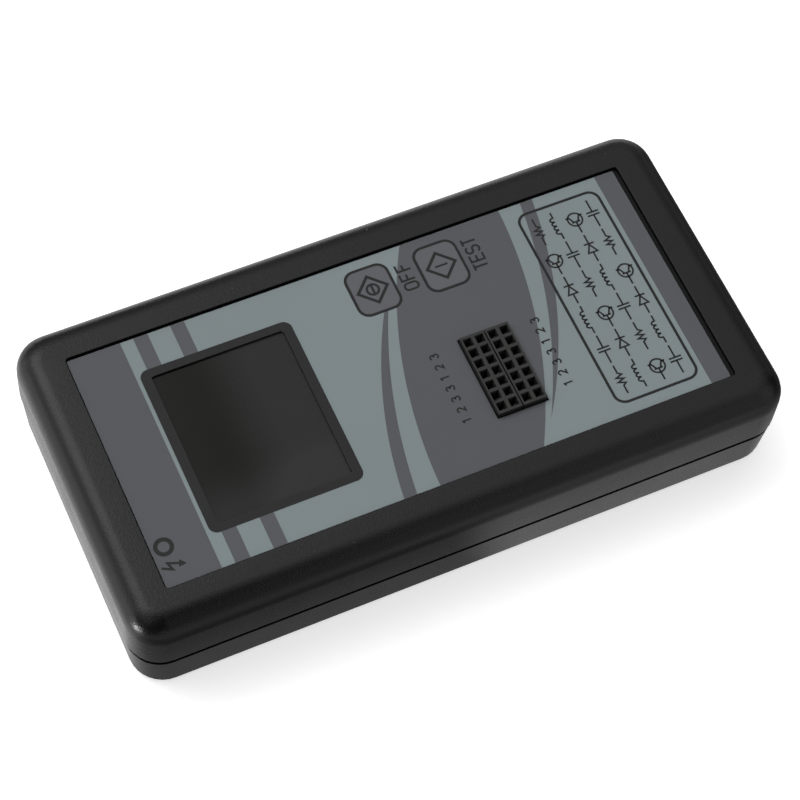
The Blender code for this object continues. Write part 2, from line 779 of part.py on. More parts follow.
def make_display():
    part(
        "display_window",
        SMOKED_CLEAR,
        rounded(
            around(DISPLAY_X, VIEW_X + 2 * LENS_LEDGE),
            around(DISPLAY_Y, VIEW_Y + 2 * LENS_LEDGE),
            (LENS_TOP - LENS, LENS_TOP),
            VIEW_CORNER + LENS_LEDGE - FIT_GAP,
            steps=SMALL_STEPS,
        ),
    )
    panel_y = DISPLAY_Y - PANEL_SHIFT
    part(
        "display_glass",
        DISPLAY_GLASS,
        box(
            around(DISPLAY_X, PANEL_X - 2 * GLASS_MARGIN_X),
            around(panel_y, PANEL_Y - 2 * GLASS_MARGIN_Y),
            GLASS_Z,
        ),
    )
    part(
        "display_backlight",
        WHITE_PLASTIC,
        rounded(
            around(DISPLAY_X, PANEL_X),
            around(panel_y, PANEL_Y),
            BACKLIGHT_Z,
            BACKLIGHT_CORNER,
            steps=SMALL_STEPS,
        ),
    )
    carrier = part(
        "display_carrier",
        WHITE_PLASTIC,
        box(
            around(DISPLAY_X, PANEL_X),
            around(DISPLAY_Y, CARRIER_Y),
            (ON_BOARD, BACKLIGHT_Z[0] - FIT_GAP),
        ),
    )
    cut(
        carrier,
        "carrier_opening",
        box(
            around(DISPLAY_X, PANEL_X - 2 * CARRIER_RAIL),
            around(DISPLAY_Y, CARRIER_Y - 2 * CARRIER_RAIL),
            (BOARD_Z[0], GLASS_Z[0]),
        ),
    )
    make_ribbon(panel_y - PANEL_Y / 2 - FIT_GAP)


def make_ribbon(end_y):
    """The flexible cable: out of the display's near end and back under it, to the board."""
    high = sum(BACKLIGHT_Z) / 2
    low = ON_BOARD + RIBBON / 2
    bend = (high - low) / 2
    route = [(end_y, high)]
    for step in range(1, FINE_ROUND_STEPS):
        angle = math.pi * step / FINE_ROUND_STEPS
        route.append((end_y - bend * math.sin(angle), low + bend + bend * math.cos(angle)))
    route += [(end_y, low), (end_y + RIBBON_TAIL, low)]
    mesh = bmesh.new()
    x = around(DISPLAY_X, RIBBON_WIDTH)
    points = [mesh.verts.new((x[0], y, z)) for y, z in route]
    edges = [mesh.edges.new(pair) for pair in zip(points, points[1:])]
    swept = bmesh.ops.extrude_edge_only(mesh, edges=edges)["geom"]
    moved = [item for item in swept if isinstance(item, bmesh.types.BMVert)]
    bmesh.ops.translate(mesh, verts=moved, vec=(RIBBON_WIDTH, 0, 0))
    data = bpy.data.meshes.new("display_ribbon")
    mesh.to_mesh(data)
    mesh.free()
    data.shade_smooth()
    data.materials.append(AMBER_FILM)
    ribbon = bpy.data.objects.new("display_ribbon", data)
    PARTS.objects.link(ribbon)
    thick = ribbon.modifiers.new("thickness", "SOLIDIFY")
    thick.thickness = RIBBON
    thick.offset = 0


# Test sockets


def spaced(centre, count, pitch):
    """Places in a row, evenly spaced about a centre."""
    return [centre + (number - (count - 1) / 2) * pitch for number in range(count)]


def socket_pins(x):
    rows = spaced(SOCKETS_Y, SOCKET_ROWS, PIN_PITCH)
    return [(column, row) for column in spaced(x, SOCKET_COLUMNS, PIN_PITCH) for row in rows]


def socket_places():
    offset = (SOCKET_COLUMNS * PIN_PITCH + SOCKETS_APART) / 2
    return {"socket_left": SOCKETS_X - offset, "socket_right": SOCKETS_X + offset}


def make_socket(name, x):
    socket = part(
        name,
        SOCKET_PLASTIC,
        box(
            around(x, SOCKET_COLUMNS * PIN_PITCH),
            around(SOCKETS_Y, SOCKET_ROWS * PIN_PITCH + 2 * SOCKET_END),
            (SOCKET_LOW, SOCKET_TOP),
        ),
    )
    pins = socket_pins(x)
    slope = (FUNNEL - CONTACT_WELL) / FUNNEL_DEPTH
    low, high = SOCKET_TOP - FUNNEL_DEPTH, SOCKET_TOP + CUT_PAST
    mouth = (FUNNEL + slope * CUT_PAST) / math.sqrt(2)
    throat = CONTACT_WELL / math.sqrt(2)
    cut(
        socket,
        f"{name}_wells",
        *[
            box(
                around(column, CONTACT_WELL),
                around(row, CONTACT_WELL),
                (SOCKET_TOP - WELL_DEPTH, SOCKET_TOP + CUT_PAST),
            )
            for column, row in pins
        ],
    )
    cut(
        socket,
        f"{name}_funnels",
        *[frustum(throat, mouth, column, row, (low, high), SQUARE) for column, row in pins],
    )
    tail_z = (BOARD_Z[0] - PIN_STICKOUT, SOCKET_LOW + UNION_BITE)
    join(
        socket,
        f"{name}_tails",
        *[box(around(column, PIN), around(row, PIN), tail_z) for column, row in pins],
    )


# Circuit board and what is soldered to it


def make_board():
    board = part(
        "main_board",
        GREEN_BOARD,
        rounded(BOARD_X, around(0, BOARD_WIDTH), BOARD_Z, BOARD_CORNER, steps=SMALL_STEPS),
    )
    through = (BOARD_Z[0] - CUT_PAST, BOARD_Z[1] + CUT_PAST)
    hole = PIN + 2 * FIT_GAP
    cut(
        board,
        "board_screw_holes",
        *[rod(BOARD_SHAFT + FIT_GAP, x, y, through, FINE_ROUND_STEPS) for x, y in BOARD_SCREWS],
    )
    for name, x in socket_places().items():
        cut(
            board,
            f"{name}_pin_holes",
            *[box(around(column, hole), around(row, hole), through) for column, row in socket_pins(x)],
        )


def column_x(number):
    """Where a column of parts stands, counted from the middle of the board."""
    return sum(BOARD_X) / 2 + number * BOARD_LENGTH / COLUMNS


def make_package(name, x, y, package, lead_count, pitch, quad=False):
    """A moulded chip with its leads, which reach the board from both sides, or all four."""
    length, width, height, span, lead_width = package
    body_z = (UNDER_BOARD - height, UNDER_BOARD)
    lead_z = around(UNDER_BOARD - LEAD_THICKNESS, LEAD_THICKNESS)
    chip = part(name, CHIP_BLACK, box(around(x, length), around(y, width), body_z))
    join(
        chip,
        f"{name}_leads",
        *[box(around(row, lead_width), around(y, span), lead_z) for row in spaced(x, lead_count, pitch)],
    )
    if quad:
        join(
            chip,
            f"{name}_side_leads",
            *[box(around(x, span), around(row, lead_width), lead_z) for row in spaced(y, lead_count, pitch)],
        )


def make_components():
    quarter_y = BOARD_WIDTH / 4
    make_package("microcontroller", column_x(0), 0, QUAD_PACKAGE, QUAD_LEADS, QUAD_LEAD_PITCH, quad=True)
    make_package("regulator", column_x(3), quarter_y, POWER_PACKAGE, THREE_LEADS, POWER_LEAD_PITCH)
    small = (SMALL_PACKAGE, THREE_LEADS, SMALL_LEAD_PITCH)
    make_package("voltage_reference", column_x(1), quarter_y, *small)
    for number, y in enumerate(spaced(quarter_y, TRANSISTOR_COUNT, TRANSISTOR_PITCH), 1):
        make_package(f"power_transistor_{number}", column_x(2), y, *small)
    length, width, height = CRYSTAL
    part(
        "crystal",
        BRIGHT_TIN,
        rounded(
            around(column_x(0), length),
            around(-quarter_y, width),
            (UNDER_BOARD - height, UNDER_BOARD),
            width / 2 - CRYSTAL_EDGE,
            bottom=CRYSTAL_EDGE,
            steps=INNER_STEPS,
        ),
    )
    length, width, height = CHIP_RESISTOR
    chip = part("resistor", RESISTOR_BLACK, box(around(0, length), around(0, width), (-height, 0)))
    rows = spaced(-quarter_y / 2, RESISTOR_COUNT, RESISTOR_PITCH)
    copies("test_resistor", baked(chip), [(column_x(1), y, UNDER_BOARD) for y in rows])
    profile = [
        (0, 0),
        (CAPACITOR_RADIUS, 0),
        (CAPACITOR_RADIUS, -CRIMP_HEIGHT),
        (CAPACITOR_RADIUS - CRIMP_DEPTH, -CRIMP_HEIGHT - CRIMP_WIDTH / 2),
        (CAPACITOR_RADIUS, -CRIMP_HEIGHT - CRIMP_WIDTH),
        (CAPACITOR_RADIUS, -CAPACITOR_HEIGHT + CRIMP_DEPTH),
        (CAPACITOR_RADIUS - CRIMP_DEPTH, -CAPACITOR_HEIGHT),
        (0, -CAPACITOR_HEIGHT),
    ]
    for number, y in enumerate(spaced(0, CAPACITOR_COUNT, CAPACITOR_PITCH), 1):
        place = (column_x(-2), y, UNDER_BOARD)
        turned(f"filter_capacitor_{number}", CAPACITOR_SLEEVE, profile, place)


def make_led():
    straight = LED_HEIGHT - LED_RADIUS
    angles = [step * math.pi / 2 / DOME_STEPS for step in range(DOME_STEPS + 1)]
    profile = [(LED_RADIUS * math.sin(angle), straight + LED_RADIUS * math.cos(angle)) for angle in angles]
    profile += [(LED_RADIUS, LED_FLANGE_HEIGHT), (LED_FLANGE, LED_FLANGE_HEIGHT), (LED_FLANGE, 0), (0, 0)]
    turned("status_led", RED_LED, profile, (LED_X, LED_Y, ON_BOARD))


# Battery, snap connector and leads


def lay_along_y(made):
    """Turns a piece that was modelled upright so that its top faces +Y."""
    made.rotation_euler = (-math.pi / 2, 0, 0)
    made.location = (BATTERY_MIDDLE_X, 0, BATTERY_MIDDLE_Z)
    return made


def make_battery():
    width, height = around(0, BATTERY_WIDTH), around(0, BATTERY_HEIGHT)
    cell = rounded(width, height, BATTERY_Y, BATTERY_EDGE, top=SOFT_EDGE, steps=INNER_STEPS)
    lay_along_y(part("battery", BATTERY_JACKET, cell))
    plus_x, minus_x = spaced(0, 2, STUD_PITCH)
    lay_along_y(part("positive_stud", BRIGHT_TIN, rod(PLUS_STUD_RADIUS, plus_x, 0, STUD_Y)))
    six_sided = rod(MINUS_STUD_RADIUS, minus_x, 0, STUD_Y, MINUS_STUD_SIDES)
    minus = lay_along_y(part("negative_stud", BRIGHT_TIN, six_sided))
    cup_z = (STUD_Y[0] + STUD_FLOOR, STUD_Y[1] + CUT_PAST)
    lay_along_y(cut(minus, "negative_cup", rod(PLUS_STUD_RADIUS, minus_x, 0, cup_z)))
    length, height = around(0, SNAP_LENGTH), around(0, SNAP_HEIGHT)
    cover = rounded(length, height, SNAP_Y, SNAP_CORNER, top=SOFT_EDGE, steps=INNER_STEPS)
    snap = lay_along_y(part("battery_snap", SOCKET_PLASTIC, cover))
    pocket = MINUS_STUD_RADIUS + FIT_GAP
    pocket_z = (SNAP_Y[0] - CUT_PAST, STUD_Y[1] + FIT_GAP)
    lay_along_y(cut(snap, "snap_pockets", *[rod(pocket, x, 0, pocket_z) for x in (plus_x, minus_x)]))


def make_leads():
    """Both leads leave the snap's back, pass the inner bay wall and rise to the board's underside."""
    leaves_y = SNAP_Y[1] + FIT_GAP
    pass_x = sum(INNER_BAY_WALL_X) / 2
    low_z = BATTERY_MIDDLE_Z
    for number, (name, finish) in enumerate((("red_lead", RED_LEAD), ("black_lead", BLACK_LEAD))):
        start_x = BATTERY_X[0] + SNAP_LENGTH * (1 + number) / 4
        lane_y = leaves_y + LEAD_FIRST_LANE + number * LEAD_LANE
        end_x = BOARD_X[1] - LEAD_PADS_FROM_BOARD_END - number * LEAD_PAD_PITCH
        end_y = BOARD_WIDTH / 2 - LEAD_LANE
        route = [
            (start_x, leaves_y, low_z),
            (start_x, leaves_y + LEAD_RADIUS, low_z),
            (start_x - LEAD_LANE, lane_y, low_z),
            (pass_x, lane_y, low_z),
            (end_x + 2 * LEAD_LANE, lane_y - LEAD_LANE / 2, low_z),
            (end_x, end_y, low_z + LEAD_LANE),
            (end_x, end_y, UNDER_BOARD),
        ]
        wire(name, finish, route)


# Screws


def screw_mesh(name, shaft, head, head_height, reach):
    """A pan-head screw with a cross recess, its head seated at z = 0 and its shaft pointing up."""
    screw = part(name, SCREW_STEEL, rod(head, 0, 0, (-head_height, 0), FINE_ROUND_STEPS))
    join(screw, f"{name}_shaft", rod(shaft, 0, 0, (-head_height / 2, reach), FINE_ROUND_STEPS))
    slot_z = (-head_height - CUT_PAST, -head_height + RECESS_DEPTH)
    slot = around(0, RECESS_WIDTH)
    long_slot = around(0, head)
    for side, x, y in (("x", long_slot, slot), ("y", slot, long_slot)):
        cut(screw, f"{name}_recess_{side}", box(x, y, slot_z))
    return baked(screw)


def make_screws():
    case_seat = COUNTERBORE_TOP - FIT_GAP
    case_reach = TOP_LOW + PILOT_DEPTH - FIT_GAP - case_seat
    data = screw_mesh("case_screw", CASE_SHAFT, CASE_HEAD, CASE_HEAD_HEIGHT, case_reach)
    copies("case_screw", data, [(x, y, case_seat) for x, y in POSTS])
    reach = BOARD_SCREW_REACH + BOARD + FIT_GAP
    data = screw_mesh("board_screw", BOARD_SHAFT, BOARD_HEAD, BOARD_HEAD_HEIGHT, reach)
    copies("board_screw", data, [(x, y, UNDER_BOARD) for x, y in BOARD_SCREWS])


make_top_shell()
make_bottom_shell()
make_battery_door()
make_panel()
for key_name, key_x in KEYS.items():
    make_key(key_name, key_x)
make_display()
make_board()
for socket_name, socket_x in socket_places().items():
    make_socket(socket_name, socket_x)
make_components()
make_led()
make_battery()
make_leads()
make_screws()
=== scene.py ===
# %% [markdown]
# # A hand-held component tester
#
# The real object is a black two-part plastic case that holds a printed film, a dark display window, two
# membrane keys and a block of test sockets. Its solids and its moving bodies come from the imported CAD
# model. This lesson adds what a drawing office leaves out: the camera, the light, the finish of every
# surface, the small edge radii of moulded plastic, the print on the film and the spring contacts in the
# sockets. Loading comes first, and the model's box is kept.

import math

import bmesh
import bpy
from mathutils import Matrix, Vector
from mathutils.geometry import intersect_sphere_sphere_2d, tessellate_polygon


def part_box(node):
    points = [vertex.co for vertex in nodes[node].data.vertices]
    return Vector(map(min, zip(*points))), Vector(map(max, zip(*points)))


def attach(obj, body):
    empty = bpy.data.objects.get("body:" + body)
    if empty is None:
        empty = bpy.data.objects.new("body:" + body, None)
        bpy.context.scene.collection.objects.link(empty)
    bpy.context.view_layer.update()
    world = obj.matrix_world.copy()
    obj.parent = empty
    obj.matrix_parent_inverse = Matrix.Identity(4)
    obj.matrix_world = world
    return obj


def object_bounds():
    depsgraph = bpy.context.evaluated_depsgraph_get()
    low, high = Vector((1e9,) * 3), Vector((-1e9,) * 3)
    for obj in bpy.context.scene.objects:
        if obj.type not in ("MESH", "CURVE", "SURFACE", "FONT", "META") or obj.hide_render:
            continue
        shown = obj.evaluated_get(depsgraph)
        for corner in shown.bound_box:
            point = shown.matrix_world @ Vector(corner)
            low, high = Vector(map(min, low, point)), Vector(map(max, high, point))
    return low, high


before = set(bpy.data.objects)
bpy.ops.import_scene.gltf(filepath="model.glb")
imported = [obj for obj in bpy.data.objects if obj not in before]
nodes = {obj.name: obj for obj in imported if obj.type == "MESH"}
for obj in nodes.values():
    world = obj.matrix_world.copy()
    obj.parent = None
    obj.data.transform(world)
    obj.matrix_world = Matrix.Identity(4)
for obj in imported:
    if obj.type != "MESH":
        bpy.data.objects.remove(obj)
cad_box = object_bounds()
scene = bpy.context.scene
scene.view_settings.view_transform = "Standard"


def link(obj):
    """Puts a new object in the scene."""
    scene.collection.objects.link(obj)
    return obj


# %% [markdown]
# ## The camera
#
# The photograph looks down on the tester from its near left. A camera can be placed by eye, but then every
# later comparison is a guess. Here its place, turn and focal length were solved from the case's corners, so
# that the picture and the photograph lie over each other. The lens is long, as product photographers use.

# %% Camera
PHOTO_PLACE = (-0.12394, -0.21360, 0.45193)
PHOTO_TURN = (29.0935, -3.2990, -24.2637)
SENSOR_WIDTH = 36.0
FOCAL_LENGTH = 114.298

view_lens = bpy.data.cameras.new("photo_camera")
view_lens.sensor_width = SENSOR_WIDTH
view_lens.lens = FOCAL_LENGTH
camera = link(bpy.data.objects.new("photo_camera", view_lens))
camera.location = PHOTO_PLACE
camera.rotation_euler = [math.radians(angle) for angle in PHOTO_TURN]
scene.camera = camera
print("camera", round(camera.location.length, 3), "m from the middle of the base")


# %% [markdown]
# ## The floor
#
# The tester lies on a white table. A pure white emitter would lose the shadow, and a plain white paint
# would go grey where the light falls off. So the floor is pale paint plus a little glow that only the
# camera sees. Black plastic mirrors the table beside it, and in the photograph that mirror image is bright
# along the left end and right under the walls, dark at the front left corner and brighter again to the
# right. Rays from gloss therefore see a dark paint with soft bright patches, each round a direction from
# the tester's middle, a bright hem along its foot, and patches that depend on the distance from the case
# as well. Small helpers that add nodes and fill sockets come first.

# %% Node helpers
def add_node(tree, kind, inputs=None, **options):
    """Adds a node, sets its options, and fills its inputs with values or with links."""
    made = tree.nodes.new(kind)
    for option, value in options.items():
        setattr(made, option, value)
    for socket, value in (inputs or {}).items():
        if isinstance(value, bpy.types.NodeSocket):
            tree.links.new(value, made.inputs[socket])
        else:
            made.inputs[socket].default_value = value
    return made


def add_math(tree, operation, first, second=0.0):
    """The result of one sum on two values."""
    return add_node(tree, "ShaderNodeMath", {0: first, 1: second}, operation=operation).outputs[0]


def add_share(tree, level, share, more):
    """A level, and as much more as a share says."""
    return add_math(tree, "ADD", add_math(tree, "MULTIPLY", share, more), level)


def own_place(tree):
    """The place on a surface, in the object's own metres."""
    return add_node(tree, "ShaderNodeTexCoord").outputs["Object"]


def add_vector_math(tree, operation, first, second=(0, 0, 0), result="Vector"):
    """The result of one sum on two vectors."""
    made = add_node(tree, "ShaderNodeVectorMath", {0: first, 1: second}, operation=operation)
    return made.outputs[result]


def ramp(tree, value, start, end, top=1.0, kind="SMOOTHSTEP"):
    """Goes from 0 to top as a value goes from start to end, smoothly or in a straight line."""
    limits = {"Value": value, "From Min": start, "From Max": end, "To Max": top}
    return add_node(tree, "ShaderNodeMapRange", limits, interpolation_type=kind).outputs[0]


# %% Floor
FLOOR_SIDE = 14.0
UNDER_CASE = 0.00005
FLOOR_PAINT = 0.80
FLOOR_GLOW = 0.60
MIRRORED_PAINT = 0.05
MIRRORED_GLOW = 0.06
MIRRORED_PATCHES = [  # the way to the middle, edge and core in degrees, and how much glow
    ((-1.00, 0.12, 0), 34, 22, 0.68),
    ((0.60, -0.80, 0), 38, 12, 0.44),
    ((-0.50, -0.87, 0), 70, 30, 0.09),
    ((0.10, 1.00, 0), 60, 30, 1.00),
]
HEM_GLOW = 0.13
HEM_START = 0.003
HEM_END = 0.010
FAR_PATCHES = [  # the same, then how far from the case it is full and how far it is gone, in metres
    ((-0.26, -0.97, 0), 75, 35, 0.55, 0.100, 0.020),
    ((-0.98, 0.17, 0), 45, 25, 0.70, 0.018, 0.009),
]


def patch_round(tree, way, pole, edge, core):
    """1 inside core degrees of a pole, 0 outside edge degrees, and smooth in between."""
    near = add_vector_math(tree, "DOT_PRODUCT", way, Vector(pole).normalized(), "Value")
    return ramp(tree, near, math.cos(math.radians(edge)), math.cos(math.radians(core)))


def add_patches(tree, way, patches, level):
    """A level, and more inside each patch: (pole, edge, core, how much more)."""
    for pole, edge, core, more in patches:
        level = add_share(tree, level, patch_round(tree, way, pole, edge, core), more)
    return level


def beside_case(tree, place, start, end):
    """Goes smoothly from 1 to 0 between two distances from the case. Either may be the longer one."""
    half = Vector((cad_box[1][0], cad_box[1][1], 0))
    apart = add_vector_math(tree, "ABSOLUTE", place)
    apart = add_vector_math(tree, "SUBTRACT", apart, half)
    apart = add_vector_math(tree, "MAXIMUM", apart)
    apart = add_vector_math(tree, "LENGTH", apart, result="Value")
    return ramp(tree, apart, end, start)


def mirrored_glow(tree):
    """The table's glow in mirror images."""
    place = own_place(tree)
    way = add_vector_math(tree, "NORMALIZE", place)
    level = add_patches(tree, way, MIRRORED_PATCHES, MIRRORED_GLOW)
    for pole, edge, core, more, start, end in FAR_PATCHES:
        patch = patch_round(tree, way, pole, edge, core)
        share = add_math(tree, "MULTIPLY", patch, beside_case(tree, place, start, end))
        level = add_share(tree, level, share, more)
    return add_share(tree, level, beside_case(tree, place, HEM_START, HEM_END), HEM_GLOW)


def make_floor():
    """The table, whose glow and paint depend on the kind of ray that meets it."""
    half = FLOOR_SIDE / 2
    corners = [(-half, -half), (half, -half), (half, half), (-half, half)]
    sheet = bpy.data.meshes.new("floor")
    sheet.from_pydata([(x, y, -UNDER_CASE) for x, y in corners], [], [(0, 1, 2, 3)])
    paint = bpy.data.materials.new("floor_paint")
    paint.use_nodes = True
    tree = paint.node_tree
    tree.nodes.clear()
    path = add_node(tree, "ShaderNodeLightPath").outputs
    seen = add_math(tree, "MAXIMUM", path["Is Camera Ray"], path["Is Transmission Ray"])
    mirrored = add_math(tree, "MULTIPLY", path["Is Glossy Ray"], mirrored_glow(tree))
    glow = add_share(tree, mirrored, seen, FLOOR_GLOW)
    less = add_math(tree, "MULTIPLY", path["Is Glossy Ray"], FLOOR_PAINT - MIRRORED_PAINT)
    grey = add_math(tree, "SUBTRACT", FLOOR_PAINT, less)
    matt = add_node(tree, "ShaderNodeBsdfDiffuse", {"Color": grey}).outputs[0]
    shine = add_node(tree, "ShaderNodeEmission", {"Strength": glow}).outputs[0]
    both = add_node(tree, "ShaderNodeAddShader", {0: matt, 1: shine}).outputs[0]
    add_node(tree, "ShaderNodeOutputMaterial", {"Surface": both})
    sheet.materials.append(paint)
    floor = link(bpy.data.objects.new("floor", sheet))
    print("floor", FLOOR_SIDE, "m wide")


make_floor()


# %% [markdown]
# ## The room
#
# Black plastic shows its room more than its own colour. The photograph's shoulders tell where that room
# was bright: over the far side of the table it was white, and on the photographer's side it was dark. A
# picture of a room would have to be loaded, so the world is made from soft patches instead. Five bright
# ones come first: a softbox behind the tester, the white round it, the left wall, and two at the left
# horizon that light the left shoulder. Two dark ones then take light away, near the camera and low over
# the far side. Four more are added last: at the right front, low in front, at the right horizon, and high
# over the left end, where the near corner mirrors it.

# %% Room
ROOM_LOW = 0.05
BACK_PATCHES = [  # the way to the middle, edge and core in degrees, and how much light
    ((-0.26, 0.46, 0.85), 26, 8, 2.90),
    ((-0.14, 0.31, 0.94), 71, 10, 1.30),
    ((-0.75, 0.43, 0.50), 45, 15, 0.60),
    ((-0.86, 0.50, -0.06), 32, 5, 1.80),
    ((-1.00, 0.02, 0.02), 20, 5, 4.20),
]
DARK_PATCHES = [  # the same, and the share of light that goes
    ((-0.50, -0.54, 0.68), 63, 35, 1.00),
    ((-0.03, 0.90, 0.44), 28, 6, 0.25),
]
FRONT_PATCHES = [
    ((0.63, -0.59, 0.50), 40, 15, 1.00),
    ((-0.02, -0.99, -0.12), 36, 14, 0.95),
    ((0.70, 0.71, 0.05), 40, 10, 0.52),
    ((-0.53, -0.02, 0.85), 25, 11, 0.95),
]


def make_room():
    """The world: a low light from everywhere, with the patches laid over it."""
    world = bpy.data.worlds.new("studio")
    world.use_nodes = True
    scene.world = world
    tree = world.node_tree
    tree.nodes.clear()
    way = add_node(tree, "ShaderNodeTexCoord").outputs["Generated"]
    behind = add_patches(tree, way, BACK_PATCHES, ROOM_LOW)
    for pole, edge, core, less in DARK_PATCHES:
        lost = add_math(tree, "MULTIPLY", patch_round(tree, way, pole, edge, core), less)
        behind = add_math(tree, "MULTIPLY", behind, add_math(tree, "SUBTRACT", 1.0, lost))
    level = add_patches(tree, way, FRONT_PATCHES, behind)
    sky = add_node(tree, "ShaderNodeBackground", {"Strength": level}).outputs[0]
    add_node(tree, "ShaderNodeOutputWorld", {"Surface": sky})
    bright = len(BACK_PATCHES) + len(FRONT_PATCHES)
    print("room of", bright, "bright patches and", len(DARK_PATCHES), "dark")


make_room()


# %% [markdown]
# ## The lamps
#
# One broad softbox hangs over the far left of the table and gives most of the shadow. An area lamp nearby
# would leave the far floor dark, so it is a sun lamp with a very wide disc, which lights the whole floor
# evenly. Gloss sees the room's bright patch in its place, whose edge is softer. A small lamp at the left
# puts a spark on the near corner. It stands lower than the flat rims of the case, so that it can't flash
# across them.

# %% Lamps
SOFTBOX_WAY = (-0.38, 0.40, 0.84)
SOFTBOX_SPREAD = 44
SOFTBOX_ENERGY = 0.56
SPARK_PLACE = (-0.36, -0.081, 0.011)
SPARK_SIZE = (0.10, 0.026)
SPARK_ENERGY = 0.66


def add_lamp(name, kind, place, energy):
    """A lamp that stands at a place and points at the middle of the tester's base."""
    lamp = bpy.data.lights.new(name, kind)
    lamp.energy = energy
    holder = link(bpy.data.objects.new(name, lamp))
    holder.location = place
    holder.rotation_euler = Vector(place).to_track_quat("Z", "Y").to_euler()
    holder.visible_camera = False
    print(name, energy)
    return holder


softbox = add_lamp("softbox", "SUN", SOFTBOX_WAY, SOFTBOX_ENERGY)
softbox.data.angle = math.radians(SOFTBOX_SPREAD)
softbox.visible_glossy = False
spark = add_lamp("corner_spark", "AREA", SPARK_PLACE, SPARK_ENERGY).data
spark.shape = "RECTANGLE"
spark.size, spark.size_y = SPARK_SIZE


# %% [markdown]
# ## Effects that many finishes share
#
# Three things happen on almost every surface here: its colour drifts a little from patch to patch, the
# mould has left a grain on it, and some dust has settled on what faces up. Each could be copied into every
# material, but a node group is built once and placed with its own values. All of them read the object's own
# coordinates in metres, so a grain size is a real size.

# %% Group helpers
FLOAT = "NodeSocketFloat"
COLOUR = "NodeSocketColor"
MIX_FIRST, MIX_SECOND, MIX_RESULT = 6, 7, 2  # the colour sockets of the Mix node


def new_group(name, inputs, outputs):
    """A shader node group with named sockets: its tree, its entry's sockets and its exit."""
    tree = bpy.data.node_groups.new(name, "ShaderNodeTree")
    for socket, (kind, value) in inputs.items():
        made = tree.interface.new_socket(socket, in_out="INPUT", socket_type=kind)
        made.default_value = value
    for socket, kind in outputs.items():
        tree.interface.new_socket(socket, in_out="OUTPUT", socket_type=kind)
    entry = tree.nodes.new("NodeGroupInput").outputs
    return tree, entry, tree.nodes.new("NodeGroupOutput")


def cloud(tree, size, detail=2.0):
    """A soft random pattern from 0 to 1, with blobs of that size in metres."""
    scale = add_math(tree, "DIVIDE", 1.0, size)
    inputs = {"Vector": own_place(tree), "Scale": scale, "Detail": detail}
    return add_node(tree, "ShaderNodeTexNoise", inputs).outputs["Fac"]


def mix_colour(tree, share, first, second):
    """A colour that goes from the first to the second as share goes from 0 to 1."""
    inputs = {0: share, MIX_FIRST: first, MIX_SECOND: second}
    return add_node(tree, "ShaderNodeMix", inputs, data_type="RGBA").outputs[MIX_RESULT]


def facing_up(tree):
    """How far a face points up: 1 for level, 0 for upright."""
    normal = add_node(tree, "ShaderNodeNewGeometry").outputs["Normal"]
    return add_node(tree, "ShaderNodeSeparateXYZ", {0: normal}).outputs["Z"]


# %% Node groups
BROAD_GRAIN = 30.0  # how much wider the slow change of gloss is than the grain
DUST_GREY = (0.42, 0.41, 0.39, 1)
DUST_CELLS = 300.0  # to the metre, each with one speck at most
DUST_FREE = 0.55  # the share of cells without a speck
DUST_LARGEST = 0.045  # the reach of the largest speck, in cells
DUST_STEEP = 0.3  # dust lies where a face's normal points up by more than this


def make_tone_drift():
    """A colour that goes a little lighter and darker from patch to patch."""
    inputs = {"Colour": (COLOUR, (0.5, 0.5, 0.5, 1)), "Patch size": (FLOAT, 0.02), "Amount": (FLOAT, 0.1)}
    tree, entry, out = new_group("tone_drift", inputs, {"Colour": COLOUR})
    blobs = cloud(tree, entry["Patch size"])
    centred = add_math(tree, "SUBTRACT", blobs, 0.5)
    swing = add_math(tree, "MULTIPLY", centred, entry["Amount"])
    factor = add_share(tree, 1.0, swing, 2.0)
    inputs = {0: entry["Colour"], "Scale": factor}
    toned = add_node(tree, "ShaderNodeVectorMath", inputs, operation="SCALE").outputs[0]
    tree.links.new(toned, out.inputs["Colour"])
    return tree


def make_moulded_grain():
    """The height of a fine grain, and a roughness that changes with it."""
    inputs = {"Grain size": (FLOAT, 0.0003), "Roughness": (FLOAT, 0.5), "Spread": (FLOAT, 0.1)}
    tree, entry, out = new_group("moulded_grain", inputs, {"Height": FLOAT, "Roughness": FLOAT})
    fine = cloud(tree, entry["Grain size"], 1.0)
    broad = cloud(tree, add_math(tree, "MULTIPLY", entry["Grain size"], BROAD_GRAIN))
    mixed = add_math(tree, "ADD", fine, broad)
    swing = add_math(tree, "MULTIPLY", add_math(tree, "SUBTRACT", mixed, 1.0), entry["Spread"])
    rough = add_math(tree, "ADD", entry["Roughness"], swing)
    tree.links.new(fine, out.inputs["Height"])
    tree.links.new(rough, out.inputs["Roughness"])
    return tree


def make_settled_dust():
    """A colour with pale specks on what faces up."""
    inputs = {"Colour": (COLOUR, (0.5, 0.5, 0.5, 1)), "Amount": (FLOAT, 0.3)}
    tree, entry, out = new_group("settled_dust", inputs, {"Colour": COLOUR})
    cells = add_node(tree, "ShaderNodeTexVoronoi", {"Vector": own_place(tree), "Scale": DUST_CELLS})
    chance = add_node(tree, "ShaderNodeSeparateColor", {0: cells.outputs["Color"]}).outputs[0]
    reach = ramp(tree, chance, DUST_FREE, 1.0, DUST_LARGEST, "LINEAR")
    speck = add_math(tree, "LESS_THAN", cells.outputs["Distance"], reach)
    up = ramp(tree, facing_up(tree), DUST_STEEP, 1.0, kind="LINEAR")
    share = add_math(tree, "MULTIPLY", add_math(tree, "MULTIPLY", speck, up), entry["Amount"])
    mixed = mix_colour(tree, share, entry["Colour"], DUST_GREY)
    tree.links.new(mixed, out.inputs["Colour"])
    return tree


tone_drift = make_tone_drift()
moulded_grain = make_moulded_grain()
settled_dust = make_settled_dust()
print("shared effects:", ", ".join(group.name for group in bpy.data.node_groups))


